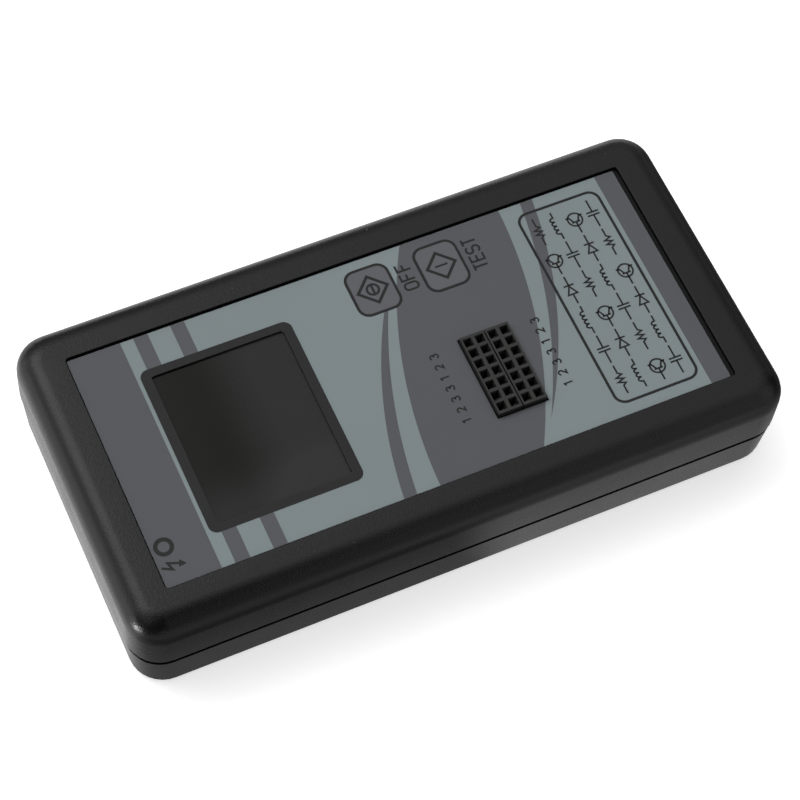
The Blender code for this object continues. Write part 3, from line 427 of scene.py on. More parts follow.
# %% [markdown]
# ## One recipe for a finish
#
# A maker's finishes differ in a few numbers only: colour, gloss, how coarse the grain is and how deep. So
# one function builds them all round Blender's Principled shader. What varies over the surface comes from
# the groups. What is the same everywhere, such as metal or clear, is written straight on the shader's
# socket.

# %% Finish recipe
MM = 0.001
OWN_SOCKETS = {
    "metallic": "Metallic",
    "specular": "Specular IOR Level",
    "transmission": "Transmission Weight",
    "ior": "IOR",
}


def make_finish(
    name, colour, rough, grain=0.3, depth=0.01, spread=0.12, drift=0.08, patch=20, dust=0, **own
):
    """A material, with sizes in millimetres. colour is three numbers, or a function that adds nodes."""
    material = bpy.data.materials.new(name)
    material.use_nodes = True
    tree = material.node_tree
    shader = tree.nodes["Principled BSDF"]
    base = colour(tree) if callable(colour) else (*colour, 1)
    inputs = {"Colour": base, "Patch size": patch * MM, "Amount": drift}
    toned = add_node(tree, "ShaderNodeGroup", inputs, node_tree=tone_drift).outputs["Colour"]
    if dust:
        inputs = {"Colour": toned, "Amount": dust}
        toned = add_node(tree, "ShaderNodeGroup", inputs, node_tree=settled_dust).outputs["Colour"]
    inputs = {"Grain size": grain * MM, "Roughness": rough, "Spread": spread}
    surface = add_node(tree, "ShaderNodeGroup", inputs, node_tree=moulded_grain).outputs
    inputs = {"Height": surface["Height"], "Distance": depth * MM}
    bump = add_node(tree, "ShaderNodeBump", inputs).outputs["Normal"]
    tree.links.new(toned, shader.inputs["Base Color"])
    tree.links.new(surface["Roughness"], shader.inputs["Roughness"])
    tree.links.new(bump, shader.inputs["Normal"])
    for key, value in own.items():
        shader.inputs[OWN_SOCKETS[key]].default_value = value
    return material


# %% [markdown]
# ## Finishes that show
#
# The case is black ABS from a spark-eroded mould, whose fine pits sparkle where light grazes them. The film
# is satin polyester, printed in light grey, dark grey and black. Its cut edge is dark, because the glue
# under it is black, so that finish looks at which way a face points. The window is smoked acrylic, and the
# display under it is off: dark glass with the olive tint of a polarising film, and a painted reflection
# that makes it paler towards its left, its right and its near side.

# %% Outside finishes
PLASTIC_GLOSS = 0.27
FILM_GLOSS = 0.25
FILM_GREY = (0.202, 0.239, 0.247, 1)
FILM_EDGE = (0.012, 0.012, 0.013, 1)
EDGE_UP, TOP_UP = 0.4, 0.8  # how far the film's normal points up on its cut edge and on its top
# The display's own olive tint, and the paler grey of a reflection painted over it towards its sides.
OLIVE_CAST = (0.0080, 0.0078, 0.0066, 1)
PAINTED_REFLECTION_GREY = (0.0360, 0.0360, 0.0364, 1)
PAINTED_REFLECTION_SIDES = [  # axis, where it starts and where it is full, as shares of the window, and how much paler
    (0, 0.27, 0.72, 0.77),
    (0, 0.27, 0.03, 0.06),
    (1, 0.35, 0.03, 0.66),
]
LENS_GLOSS = 0.03


def film_colour(tree):
    """Light grey on top and dark on the cut edge."""
    top = ramp(tree, facing_up(tree), EDGE_UP, TOP_UP, kind="LINEAR")
    return mix_colour(tree, top, FILM_EDGE, FILM_GREY)


def across_node(tree, name, axis, start=0.0, end=1.0):
    """Goes smoothly from 0 to 1 between two shares of a solid's length along one axis."""
    low, high = (corner[axis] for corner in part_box(name))
    along = add_node(tree, "ShaderNodeSeparateXYZ", {0: own_place(tree)}).outputs[axis]
    return ramp(tree, along, low + start * (high - low), low + end * (high - low))


def display_colour(tree):
    """Olive black in a band at the left quarter, and paler with a painted reflection to its left, its right
    and the near side.
    """
    share = 0.0
    for axis, start, end, more in PAINTED_REFLECTION_SIDES:
        paler = across_node(tree, "display_window", axis, start, end)
        share = add_share(tree, share, paler, more)
    return mix_colour(tree, share, OLIVE_CAST, PAINTED_REFLECTION_GREY)


moulded_black = make_finish(
    "moulded_black", (0.0042, 0.0042, 0.0043), 0.26, grain=0.28, depth=0.038, drift=0.12, dust=0.35,
    specular=PLASTIC_GLOSS,
)
satin_film = dict(grain=0.16, depth=0.002, spread=0.10, drift=0.04, patch=30, specular=FILM_GLOSS)
light_film = make_finish("light_film", film_colour, 0.50, dust=0.25, **satin_film)
grey_ink = make_finish("grey_ink", (0.0855, 0.0875, 0.0970), 0.48, dust=0.2, **satin_film)
key_ink = make_finish("key_ink", (0.103, 0.105, 0.116), 0.46, **satin_film)
black_ink = make_finish("black_ink", (0.0098, 0.0098, 0.0104), 0.45, **satin_film)
smoked_lens = make_finish(
    "smoked_lens", display_colour, 0.10, depth=0.0002, spread=0.02, drift=0.03,
    specular=LENS_GLOSS, transmission=0.25, ior=1.49,
)
display_stack = make_finish("display_stack", display_colour, 0.12, depth=0.0004, spread=0.05, drift=0.15)
# Matt dark grey for the glue, which also paints the shade in the gap round the film.
glue_and_painted_shade = make_finish("glue_and_painted_shade", (0.015, 0.015, 0.015), 0.80, grain=0.2, depth=0.01, specular=0.05)
socket_black = make_finish(
    "socket_black", (0.022, 0.0213, 0.0208), 0.50, grain=0.2, depth=0.006, drift=0.15, patch=3,
    specular=0.3,
)
print("outside finishes ready")


# %% [markdown]
# ## Finishes inside the case
#
# Few of these show, and only when the battery door is off. They still get their own recipes, because the
# part may be opened in another scene. The board has a faint lattice of copper tracks under green lacquer,
# and the battery has a plain dark jacket with a lighter band at the end with the terminals.

# %% Inside finishes
BOARD_GREEN = (0.012, 0.085, 0.030, 1)
TRACK_GREEN = (0.022, 0.140, 0.050, 1)
TRACKS = {"Scale": 260.0, "Mortar Size": 0.06, "Row Height": 0.4}
JACKET_DARK = (0.020, 0.021, 0.024, 1)
JACKET_BAND = (0.46, 0.30, 0.09, 1)
BAND_START = 0.86


def board_colour(tree):
    """Green lacquer with paler lines where tracks run under it."""
    tracks = add_node(tree, "ShaderNodeTexBrick", {"Vector": own_place(tree), **TRACKS}).outputs["Fac"]
    return mix_colour(tree, tracks, BOARD_GREEN, TRACK_GREEN)


def jacket_colour(tree):
    """A dark jacket with a lighter band at the terminal end."""
    band = add_math(tree, "GREATER_THAN", across_node(tree, "battery", 1), BAND_START)
    return mix_colour(tree, band, JACKET_DARK, JACKET_BAND)


metal = dict(metallic=1.0, grain=0.12, depth=0.002, spread=0.15, drift=0.10, patch=4)
moulded = dict(grain=0.15, depth=0.004, patch=6)
cable = dict(grain=0.4, depth=0.006, patch=5)
tin = make_finish("bright_tin", (0.62, 0.60, 0.56), 0.28, **metal)
FINISHES = {
    "black_abs": moulded_black,
    "panel_film": light_film,
    "smoked_clear": smoked_lens,
    "display_glass": display_stack,
    "socket_plastic": socket_black,
    "bright_tin": tin,
    "screw_steel": make_finish("zinc_steel", (0.42, 0.42, 0.43), 0.36, **metal),
    "white_plastic": make_finish("backlight_white", (0.66, 0.66, 0.63), 0.45, **moulded),
    "amber_film": make_finish("amber_ribbon", (0.36, 0.13, 0.015), 0.35, **moulded),
    "green_board": make_finish("green_lacquer", board_colour, 0.34, **moulded),
    "chip_black": make_finish("chip_epoxy", (0.014, 0.014, 0.015), 0.58, **moulded),
    "switch_black": make_finish("switch_resin", (0.016, 0.016, 0.016), 0.45, **moulded),
    "resistor_black": make_finish("resistor_glaze", (0.018, 0.018, 0.020), 0.25, **moulded),
    "capacitor_sleeve": make_finish("capacitor_sleeve", (0.018, 0.022, 0.045), 0.32, **moulded),
    "red_led": make_finish("red_lamp_resin", (0.55, 0.02, 0.015), 0.15, transmission=0.5, **moulded),
    "battery_jacket": make_finish("battery_wrap", jacket_colour, 0.30, **moulded),
    "red_lead": make_finish("red_cable", (0.42, 0.012, 0.010), 0.40, **cable),
    "black_lead": make_finish("black_cable", (0.012, 0.012, 0.012), 0.42, **cable),
}
print(len(FINISHES), "finishes for the record's material slots")


# %% [markdown]
# ## Dressing the solids
#
# Each solid came in with a plain colour named for its material slot. Swapping that for the finish of the
# same slot dresses all of them in one loop, and a new solid in the CAD model would be dressed as well.

# %% Dress the solids
for solid in nodes.values():
    slot_name = solid.data.materials[0].name
    solid.material_slots[0].material = FINISHES[slot_name]
print(len(nodes), "solids dressed")


# %% [markdown]
# ## Soft edges
#
# No moulded or punched edge is perfectly sharp: a radius of a tenth of a millimetre catches the light and
# makes a surface look made. The solids arrive as loose triangles, so a stack of modifiers does the work and
# leaves their points alone: Weld joins the triangles, Decimate clears needless points off flat faces,
# Triangulate cuts those faces up evenly, Bevel rounds only the sharp edges, and Weighted Normal keeps big
# faces flat and the shoulders smooth. Whole faces with holes in them would tear in the bevel, which is why
# they are cut up again first. The sockets and the lower shell have so many holes that even this tears, so
# they keep the triangles they came with.

# %% Soften the edges
EDGE_RADIUS = 0.08
EDGE_RADII = {
    "top_shell": 0.10,
    "bottom_shell": 0.06,
    "battery_door": 0.10,
    "front_panel": 0.04,
    "off_key": 0.04,
    "test_key": 0.04,
    "socket_left": 0.07,
    "socket_right": 0.07,
    "red_lead": 0,
    "black_lead": 0,
}
CHIPS = ("microcontroller", "regulator", "voltage_reference", "power_transistor")
CHIP_RADIUS = 0.02
PIERCED = ("socket_left", "socket_right", "bottom_shell")
WELD_REACH = 1e-6
FLAT_ANGLE = 0.5
SHARP_ANGLE = 32
EDGE_SEGMENTS = 3
FACE_WEIGHT = 100


def edge_radius(name):
    """The radius in millimetres on a solid's edges."""
    if name.startswith(CHIPS):
        return CHIP_RADIUS
    return EDGE_RADII.get(name, EDGE_RADIUS)


def soften(solid, radius):
    """Rounds a solid's sharp edges and smooths its curved faces."""
    solid.data.shade_smooth()
    weld = solid.modifiers.new("weld", "WELD")
    weld.merge_threshold = WELD_REACH
    if solid.name not in PIERCED:
        flat = solid.modifiers.new("whole_faces", "DECIMATE")
        flat.decimate_type = "DISSOLVE"
        flat.angle_limit = math.radians(FLAT_ANGLE)
        solid.modifiers.new("even_triangles", "TRIANGULATE")
    if radius:
        bevel = solid.modifiers.new("edge_radius", "BEVEL")
        bevel.width = radius * MM
        bevel.segments = EDGE_SEGMENTS
        bevel.limit_method = "ANGLE"
        bevel.angle_limit = math.radians(SHARP_ANGLE)
        bevel.use_clamp_overlap = False
        bevel.harden_normals = True
    shade = solid.modifiers.new("even_shading", "WEIGHTED_NORMAL")
    shade.weight = FACE_WEIGHT


for name, solid in nodes.items():
    soften(solid, edge_radius(name))
print(len(nodes), "solids softened")


# %% [markdown]
# ## Drawing for print
#
# The film's print could be painted in its material, but then none of it would be in any mesh.
# Here each colour is a very thin closed solid of ink on the film, as a screen printer lays it: the grey
# bands first, and black lines a little higher over them. Print is drawn flat, in millimetres. These first
# helpers give outlines as lists of points, all from arcs and straight runs, and places in even rows.

# %% Outlines
ARC_STEP = 9.0


def arc(centre, radius, start, end, step=ARC_STEP):
    """Points along an arc between two angles in degrees. radius is one number, or one for each axis."""
    rx, ry = radius if isinstance(radius, tuple) else (radius, radius)
    count = max(2, math.ceil(abs(end - start) / step))
    turns = [math.radians(start + (end - start) * i / count) for i in range(count + 1)]
    return [Vector((centre[0] + rx * math.cos(a), centre[1] + ry * math.sin(a))) for a in turns]


def circle(centre, radius):
    """A full circle, without a second point where it closes."""
    return arc(centre, radius, 0, 360)[:-1]


def rounded_box(low, high, corner, grow=0.0):
    """A rectangle with round corners, grown outwards by that much."""
    corner = corner + grow
    right, top = high[0] + grow - corner, high[1] + grow - corner
    left, bottom = low[0] - grow + corner, low[1] - grow + corner
    centres = [(right, top), (left, top), (left, bottom), (right, bottom)]
    return [p for i, c in enumerate(centres) for p in arc(c, corner, 90 * i, 90 * i + 90)]


def upright(left, right, low, high):
    """A rectangle from its four sides."""
    return [(left, low), (right, low), (right, high), (left, high)]


def upright_box(low, high, grow):
    """A rectangle between two corners, grown outwards by that much."""
    return upright(low[0] - grow, high[0] + grow, low[1] - grow, high[1] + grow)


def evenly(count, pitch, middle):
    """Places at an even pitch on both sides of a middle."""
    return [middle + (i - (count - 1) / 2) * pitch for i in range(count)]


def box_mm(name):
    """The lowest and highest corner of a solid, in millimetres."""
    low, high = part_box(name)
    return low / MM, high / MM


film_low, film_high = box_mm("front_panel")
print("film", [round(side, 2) for side in film_high - film_low], "mm")


# %% [markdown]
# ## Laying ink
#
# Two helpers turn outlines into ink. An area is filled by Blender's own polygon tessellator, which also
# leaves holes open, and gets a top, a bottom and walls. A line is a ribbon of constant width whose corners
# are mitred, so it needs only the path of its middle. Both are closed solids that start just inside the
# film. The last two turn the finished bmesh into a mesh, and that into a piece that rides on a body.

# %% Ink helpers
INK_SUNK = 0.02
BLACK_INK = 0.030


def ink_area(bm, outline, thick, holes=()):
    """A filled area of ink, open where the holes are."""
    loops = [outline, *holes]
    low, high = film_high.z - INK_SUNK, film_high.z + thick
    flat = [[Vector((p[0], p[1], 0)) for p in loop] for loop in loops]
    points = [p for loop in flat for p in loop]
    bottom = [bm.verts.new((p.x, p.y, low)) for p in points]
    top = [bm.verts.new((p.x, p.y, high)) for p in points]
    for a, b, c in tessellate_polygon(flat):
        bm.faces.new((top[a], top[b], top[c]))
        bm.faces.new((bottom[c], bottom[b], bottom[a]))
    first = 0
    for loop in loops:
        count = len(loop)
        for i in range(count):
            a, b = first + i, first + (i + 1) % count
            bm.faces.new((bottom[a], bottom[b], top[b], top[a]))
        first += count


def square_to(a, b):
    """The unit vector square to the way from a to b."""
    way = (b - a).normalized()
    return Vector((-way.y, way.x))


def ribbon_sides(path, width, closed):
    """The two edges of a ribbon along a path, mitred where the path turns."""
    count = len(path)
    left, right = [], []
    for i, point in enumerate(path):
        ends = []
        if closed or i > 0:
            ends.append(square_to(path[i - 1], point))
        if closed or i < count - 1:
            ends.append(square_to(point, path[(i + 1) % count]))
        mitre = (ends[0] + ends[-1]) / (1 + ends[0].dot(ends[-1]))
        left.append(point + mitre * width / 2)
        right.append(point - mitre * width / 2)
    return left, right


def ink_line(bm, path, width, closed=False):
    """A ribbon of black ink along a path."""
    path = [Vector((p[0], p[1])) for p in path]
    left, right = ribbon_sides(path, width, closed)
    low, high = film_high.z - INK_SUNK, film_high.z + BLACK_INK
    rows = [(left, low), (right, low), (right, high), (left, high)]
    rails = [[bm.verts.new((p.x, p.y, z)) for p in side] for side, z in rows]
    spans = len(path) if closed else len(path) - 1
    for i in range(spans):
        j = (i + 1) % len(path)
        for a, b in zip(rails, rails[1:] + rails[:1]):
            bm.faces.new((a[i], a[j], b[j], b[i]))
    if not closed:
        bm.faces.new([rail[0] for rail in rails])
        bm.faces.new([rail[-1] for rail in reversed(rails)])


def mesh_in_metres(name, bm):
    """A mesh in metres from a bmesh in millimetres, with its faces turned outwards."""
    bmesh.ops.recalc_face_normals(bm, faces=bm.faces)
    bmesh.ops.scale(bm, vec=(MM, MM, MM), verts=bm.verts)
    mesh = bpy.data.meshes.new(name)
    bm.to_mesh(mesh)
    bm.free()
    return mesh


def add_piece(name, bm, finish, body="case"):
    """Makes a bmesh in millimetres a piece in metres that rides on a body."""
    mesh = mesh_in_metres(name, bm)
    mesh.materials.append(finish)
    piece = link(bpy.data.objects.new(name, mesh))
    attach(piece, body)
    print(name, len(mesh.polygons), "faces")
    return piece


# %% [markdown]
# ## The glue under the film, and the painted shade round it
#
# The film is held by a black double-sided sheet. Here the sheet is as large as the recess, so that it also
# paints the shade in the gap round the film, which shows as a dark line, widest at the right, where the
# film falls a millimetre short. Only its rim can be seen, so a frame that reaches a little way under the
# film stands for it. It lies on the recess floor, below the film.

# %% Glue sheet and painted gap shade
FILM_GAPS = {"left": 0.22, "right": 1.08, "near": 0.26, "far": 0.44}
GLUE_MARGIN = 0.05
GLUE_THICK = 0.08
GLUE_AIR = 0.01
GLUE_UNDER = 2.0

recess_low = (film_low.x - FILM_GAPS["left"], film_low.y - FILM_GAPS["near"])
recess_high = (film_high.x + FILM_GAPS["right"], film_high.y + FILM_GAPS["far"])
outer = upright_box(recess_low, recess_high, -GLUE_MARGIN)
hidden = upright_box(film_low, film_high, -GLUE_UNDER)
glue_and_shade_sheet = bmesh.new()
ink_area(glue_and_shade_sheet, outer, GLUE_THICK - INK_SUNK, holes=[hidden])
drop = film_low.z - GLUE_AIR - GLUE_THICK - (film_high.z - INK_SUNK)
bmesh.ops.translate(glue_and_shade_sheet, vec=(0, 0, drop), verts=glue_and_shade_sheet.verts)
add_piece("glue_sheet_and_painted_shade", glue_and_shade_sheet, glue_and_painted_shade)


# %% [markdown]
# ## Bands across the film
#
# A dark band closes each end of the film, and two narrow stripes cross it on the left, behind the display.
# All run from edge to edge. Their places are distances from the film's own ends, so they would follow it.
# The display covers the middle of the stripes, so each stripe is laid in two lengths, above and below it.

# %% Straight bands
GREY_INK = 0.012
LEFT_BAND = 11.0
RIGHT_BAND = 4.2
STRIPES = [(13.7, 16.7), (21.4, 24.3)]
BORDER_SIDE = 2.0
BORDER_END = 1.78
LENS_LEDGE = 1.2
EDGE_MARGIN = 0.05

lens_low, lens_high = box_mm("display_window")
view_low = lens_low + Vector((LENS_LEDGE, LENS_LEDGE, 0))
view_high = lens_high - Vector((LENS_LEDGE, LENS_LEDGE, 0))
border_low = view_low - Vector((BORDER_SIDE, BORDER_END, 0))
border_high = view_high + Vector((BORDER_SIDE, BORDER_END, 0))
print_low, print_high = film_low.y + EDGE_MARGIN, film_high.y - EDGE_MARGIN

band_sides = [
    (film_low.x + EDGE_MARGIN, film_low.x + LEFT_BAND),
    (film_high.x - RIGHT_BAND, film_high.x - EDGE_MARGIN),
]
bands = bmesh.new()
for left, right in band_sides:
    ink_area(bands, upright(left, right, print_low, print_high), GREY_INK)
add_piece("end_bands", bands, grey_ink)

stripes = bmesh.new()
for start, end in STRIPES:
    left, right = film_low.x + start, film_low.x + end
    ink_area(stripes, upright(left, right, print_low, border_low.y), GREY_INK)
    ink_area(stripes, upright(left, right, border_high.y, print_high), GREY_INK)
add_piece("display_stripes", stripes, grey_ink)


# %% [markdown]
# ## The sweeping shape
#
# A broad dark shape sweeps across the middle of the film, with a thin crescent beside each of its curved
# sides. The whole figure looks the same after half a turn, so only its right half is described: three
# circles give the shape's edge and the two edges of the crescent. The left half is the same points, turned.
# Keys and sockets pass through it, and their corners cross its edges, so Boolean cutters take them out.

# %% Sweep and crescents
TURN_POINT = Vector((14.47, (film_low.y + film_high.y) / 2))
SWEEP_EDGE = (TURN_POINT + Vector((-93.50, 29.94)), 112.0)
CRESCENT_INNER = (TURN_POINT + Vector((-100.23, 41.16)), 124.4)
CRESCENT_OUTER = (TURN_POINT + Vector((-78.06, 39.64)), 104.9)
SWEEP_STEPS = 40
KEY_SLIT = 0.25
KEY_CORNER = 2.2
SOCKET_GAP = 0.3
CUT_MARGIN = 0.02
CUTTER_HEIGHT = 1.0


def edge_at(edge, y):
    """The point of a circle's right side at this height."""
    centre, radius = edge
    return Vector((centre.x + math.sqrt(radius**2 - (y - centre.y) ** 2), y))


def edge_points(edge, low, high):
    """Evenly spaced points along a circle's right side between two heights."""
    return [edge_at(edge, low + (high - low) * i / SWEEP_STEPS) for i in range(SWEEP_STEPS + 1)]


def half_turn(points):
    """The same points after half a turn about the figure's middle."""
    return [2 * TURN_POINT - p for p in points]


def make_sweep():
    """The sweeping shape and its two crescents, as one piece."""
    right = edge_points(SWEEP_EDGE, print_low, print_high)
    crossings = intersect_sphere_sphere_2d(*CRESCENT_INNER, *CRESCENT_OUTER)
    tip = min(crossings, key=lambda p: abs(p.y))
    inner = edge_points(CRESCENT_INNER, tip.y, print_high)
    outer = edge_points(CRESCENT_OUTER, tip.y, print_high)
    crescent = outer + inner[:0:-1]
    bm = bmesh.new()
    ink_area(bm, right + half_turn(right), GREY_INK)
    ink_area(bm, crescent, GREY_INK)
    ink_area(bm, half_turn(crescent), GREY_INK)
    print("crescent tip at", [round(c, 1) for c in tip])
    return add_piece("sweep_and_crescents", bm, grey_ink)


def cut_through(piece, outlines):
    """Cuts upright holes of these outlines through a piece of ink."""
    bm = bmesh.new()
    for outline in outlines:
        ink_area(bm, outline, CUTTER_HEIGHT)
    bmesh.ops.translate(bm, vec=(0, 0, -CUTTER_HEIGHT / 2), verts=bm.verts)
    cutter = link(bpy.data.objects.new("cutter", mesh_in_metres("cutter", bm)))
    hole = piece.modifiers.new("holes", "BOOLEAN")
    hole.object = cutter
    hole.solver = "EXACT"
    graph = bpy.context.evaluated_depsgraph_get()
    done = bpy.data.meshes.new_from_object(piece.evaluated_get(graph))
    piece.modifiers.clear()
    piece.data = done
    bpy.data.objects.remove(cutter)
    print(piece.name, "cut to", len(done.polygons), "faces")


key_boxes = {name: box_mm(name) for name in ("off_key", "test_key")}
key_cut = KEY_SLIT + CUT_MARGIN
openings = [rounded_box(low, high, KEY_CORNER, key_cut) for low, high in key_boxes.values()]
block_low, block_high = box_mm("socket_left")[0], box_mm("socket_right")[1]
openings.append(upright_box(block_low, block_high, SOCKET_GAP + CUT_MARGIN))
cut_through(make_sweep(), openings)


# %% [markdown]
# ## The display's border
#
# A black printed frame hides the edge of the display and the step down to the window. It is one area with
# round outer corners and a hole where the film is open.

# %% Display border
BORDER_CORNER = 1.8
VIEW_CORNER = 0.4
VIEW_SLACK = 0.01

border = bmesh.new()
ink_area(
    border,
    rounded_box(border_low, border_high, BORDER_CORNER),
    BLACK_INK,
    holes=[rounded_box(view_low, view_high, VIEW_CORNER, VIEW_SLACK)],
)
add_piece("display_border", border, black_ink)


# %% [markdown]
# ## The keys' print
#
# Each key is a patch of the film that gives when pressed, so its print rides on the key and goes down with
# it. A grey tint fills the patch and a black line runs round it. On the real film nothing is cut there, so
# the line reaches out over the slit that lets the solid key move, and leaves a hair's breadth at its edge.
# A diamond marks each key: a barred circle inside it for off, and a single bar for a test.

# %% Key tints
TINT_INK = 0.016
INK_MARGIN = 0.03

for key, (low, high) in key_boxes.items():
    tint = bmesh.new()
    ink_area(tint, rounded_box(low, high, KEY_CORNER, -INK_MARGIN), TINT_INK)
    add_piece(f"{key}_tint", tint, key_ink, body=key)

# %% Key marks
KEY_LINE_IN = 0.32
KEY_LINE_OUT = 0.20
MARK_SHIFT = Vector((0, 0.1))
DIAMOND_LINE = 0.62
DIAMOND_REACH = {"off_key": 3.15, "test_key": 3.05}
OFF_CIRCLE = 1.20
MARK_LINE = 0.50
TEST_BAR = 1.35
TEST_BAR_LINE = 0.42


def key_marks(key):
    """The outline and the diamond of a key, and the middle of the key."""
    low, high = key_boxes[key]
    bm = bmesh.new()
    edge = rounded_box(low, high, KEY_CORNER, KEY_LINE_OUT)
    ink_area(bm, edge, BLACK_INK, holes=[rounded_box(low, high, KEY_CORNER, -KEY_LINE_IN)])
    middle = ((low + high) / 2).xy + MARK_SHIFT
    corners = arc(middle, DIAMOND_REACH[key], 0, 270, 90)
    ink_line(bm, corners, DIAMOND_LINE, closed=True)
    return bm, middle


marks, middle = key_marks("off_key")
ink_line(marks, circle(middle, OFF_CIRCLE), MARK_LINE, closed=True)
bar = Vector((0, OFF_CIRCLE - MARK_LINE / 2))
ink_line(marks, [middle - bar, middle + bar], MARK_LINE)
add_piece("off_key_marks", marks, black_ink, body="off_key")

marks, middle = key_marks("test_key")
bar = Vector((TEST_BAR, 0))
ink_line(marks, [middle - bar, middle + bar], TEST_BAR_LINE)
add_piece("test_key_marks", marks, black_ink, body="test_key")


# %% [markdown]
# ## Words and numbers
#
# The keys say OFF and TEST, and each row of sockets has the number of the test lead that it belongs to. The
# letters are thin strokes of even width, like stencil lettering, so they are drawn with the line helper
# instead of a font. Each letter is a few strokes in a box one unit wide and one high. They read along the
# film's short side, so their up is towards the display.

# %% Stroke letters
def stroke(*points, closed=False):
    """One stroke of a letter or a sign."""
    return points, closed


def letter_strokes(letter):
    """The strokes of a letter or number in a box one unit wide and one high."""
    upper, lower, bowl = (0.5, 0.74), (0.5, 0.26), (0.5, 0.26)
    strokes = {
        "O": [stroke(*arc(upper, bowl, 0, 180), *arc(lower, bowl, 180, 360), closed=True)],
        "F": [stroke((0, 0), (0, 1), (1, 1)), stroke((0.06, 0.53), (0.82, 0.53))],
        "T": [stroke((0, 1), (1, 1)), stroke((0.5, 0.95), (0.5, 0))],
        "E": [stroke((1, 0), (0, 0), (0, 1), (1, 1)), stroke((0.06, 0.52), (0.88, 0.52))],
        "S": [stroke(*arc(upper, bowl, 25, 262), *arc(lower, bowl, 82, -155))],
        "1": [stroke((0.55, 1.09), (0.55, -0.08)), stroke((0.10, 0.82), (0.48, 1.00))],
        "2": [stroke(*arc((0.5, 0.70), (0.46, 0.30), 165, -32), (0.06, 0), (0.98, 0))],
        "3": [
            stroke(*arc((0.46, 0.76), (0.42, 0.25), 160, -90)),
            stroke(*arc((0.46, 0.26), (0.50, 0.28), 90, -163)),
        ],
    }
    return strokes[letter]


def draw_strokes(bm, strokes, base, width, height, line):
    """Draws strokes that read along +Y and stand up towards -X, from a base point."""
    for points, closed in strokes:
        path = [(base[0] - p[1] * height, base[1] + p[0] * width) for p in points]
        ink_line(bm, path, line, closed)


# %% Key words
WORD_LINE = 0.45
WORD_HEIGHT = 2.85
WORDS = {  # the foot of the first letter, the width of a letter and the pitch
    "OFF": ((10.80, 15.68), 1.55, 2.30),
    "TEST": ((25.60, 14.78), 1.50, 2.03),
}

words = bmesh.new()
for word, ((x, y), width, pitch) in WORDS.items():
    for place, letter in enumerate(word):
        base = (x, y + place * pitch)
        draw_strokes(words, letter_strokes(letter), base, width, WORD_HEIGHT, WORD_LINE)
add_piece("key_words", words, black_ink)

# %% Pin numbers
PIN_ROWS = "1233123"
PIN_PITCH = 2.54
NUMBER_LINE = 0.33
NUMBER_HEIGHT = 1.62
NUMBER_WIDTH = 0.98
NUMBER_BASES = (7.45, 29.30)
NUMBER_SHIFT = 0.2

numbers = bmesh.new()
row_places = evenly(len(PIN_ROWS), PIN_PITCH, (block_low.y + block_high.y) / 2)
for base_x in NUMBER_BASES:
    for number, row_y in zip(PIN_ROWS, row_places):
        base = (base_x, row_y + NUMBER_SHIFT - NUMBER_WIDTH / 2)
        draw_strokes(numbers, letter_strokes(number), base, NUMBER_WIDTH, NUMBER_HEIGHT, NUMBER_LINE)
add_piece("pin_numbers", numbers, black_ink)


# %% [markdown]
# ## The lamp's ring and the power mark
#
# In the near left corner a black ring marks where the status lamp sits under the film, and a bent arrow,
# the usual sign for electric power, stands beside it. The ring is a wide closed line, and the arrow a
# zigzag with a head, which lies a hair higher, so that the two tops never share a plane.

# %% Ring and power mark
RING_MIDDLE = (-57.03, -17.99)
RING_RADIUS = 1.55
RING_LINE = 0.86
ARROW_START = Vector((-59.03, -21.99))
ARROW_STEPS = [(1.90, -0.95), (-0.50, 1.55), (2.35, -0.90)]
ARROW_LINE = 0.48
HEAD_HALF = 0.78
HEAD_BACK = 0.35
HEAD_LONG = 1.45
HEAD_RAISE = 0.004

marks = bmesh.new()
ink_line(marks, circle(RING_MIDDLE, RING_RADIUS), RING_LINE, closed=True)
arrow = [ARROW_START]
for step in ARROW_STEPS:
    arrow.append(arrow[-1] + Vector(step))
ink_line(marks, arrow, ARROW_LINE)
way = (arrow[-1] - arrow[-2]).normalized()
side = square_to(arrow[-2], arrow[-1])
neck = arrow[-1] - way * HEAD_BACK
head = [neck + side * HEAD_HALF, neck - side * HEAD_HALF, neck + way * HEAD_LONG]
ink_area(marks, head, BLACK_INK + HEAD_RAISE)
add_piece("lamp_ring_and_power_mark", marks, black_ink)


# %% [markdown]
# ## The list of parts
#
# At the right a round-cornered frame holds a table of what the tester can measure. Standard circuit
# symbols say that without words: resistor, capacitor, coil, diode and transistor. Each is drawn from lines
# and arcs round its own middle, one unit to a quarter of its length. Four rows of them fill the frame, and
# each row starts with another symbol.

# %% Symbol frame
FRAME_LOW = (35.50, -23.52)
FRAME_HIGH = (53.34, 23.20)
FRAME_CORNER = 2.2
FRAME_LINE = 0.57

outline = bmesh.new()
ink_line(outline, rounded_box(FRAME_LOW, FRAME_HIGH, FRAME_CORNER), FRAME_LINE, closed=True)
add_piece("symbol_frame", outline, black_ink)


# %% Circuit symbols
SYMBOL_UNIT = 1.66
SYMBOL_LINE = 0.36
SYMBOL_ROWS = 4
SYMBOL_COLUMNS = 6
ROW_START = 2
ROWS_MARGIN = 1.6
COLUMNS_MARGIN = 2.6


def resistor():
    zigzag = [(-0.9 + 0.3 * i, 0.42 * (-1) ** i) for i in range(1, 6)]
    return [stroke((-2, 0), (-0.9, 0), *zigzag, (0.9, 0), (2, 0))]


def capacitor():
    plates = [stroke((x, -0.8), (x, 0.8)) for x in (-0.22, 0.22)]
    return [*plates, stroke((-2, 0), (-0.26, 0)), stroke((0.26, 0), (2, 0))]


def coil():
    turns = [p for i in range(4) for p in arc((-0.9 + 0.6 * i, 0), (0.3, 0.5), 180, 0, 20)]
    return [stroke((-2, 0), *turns, (2, 0))]


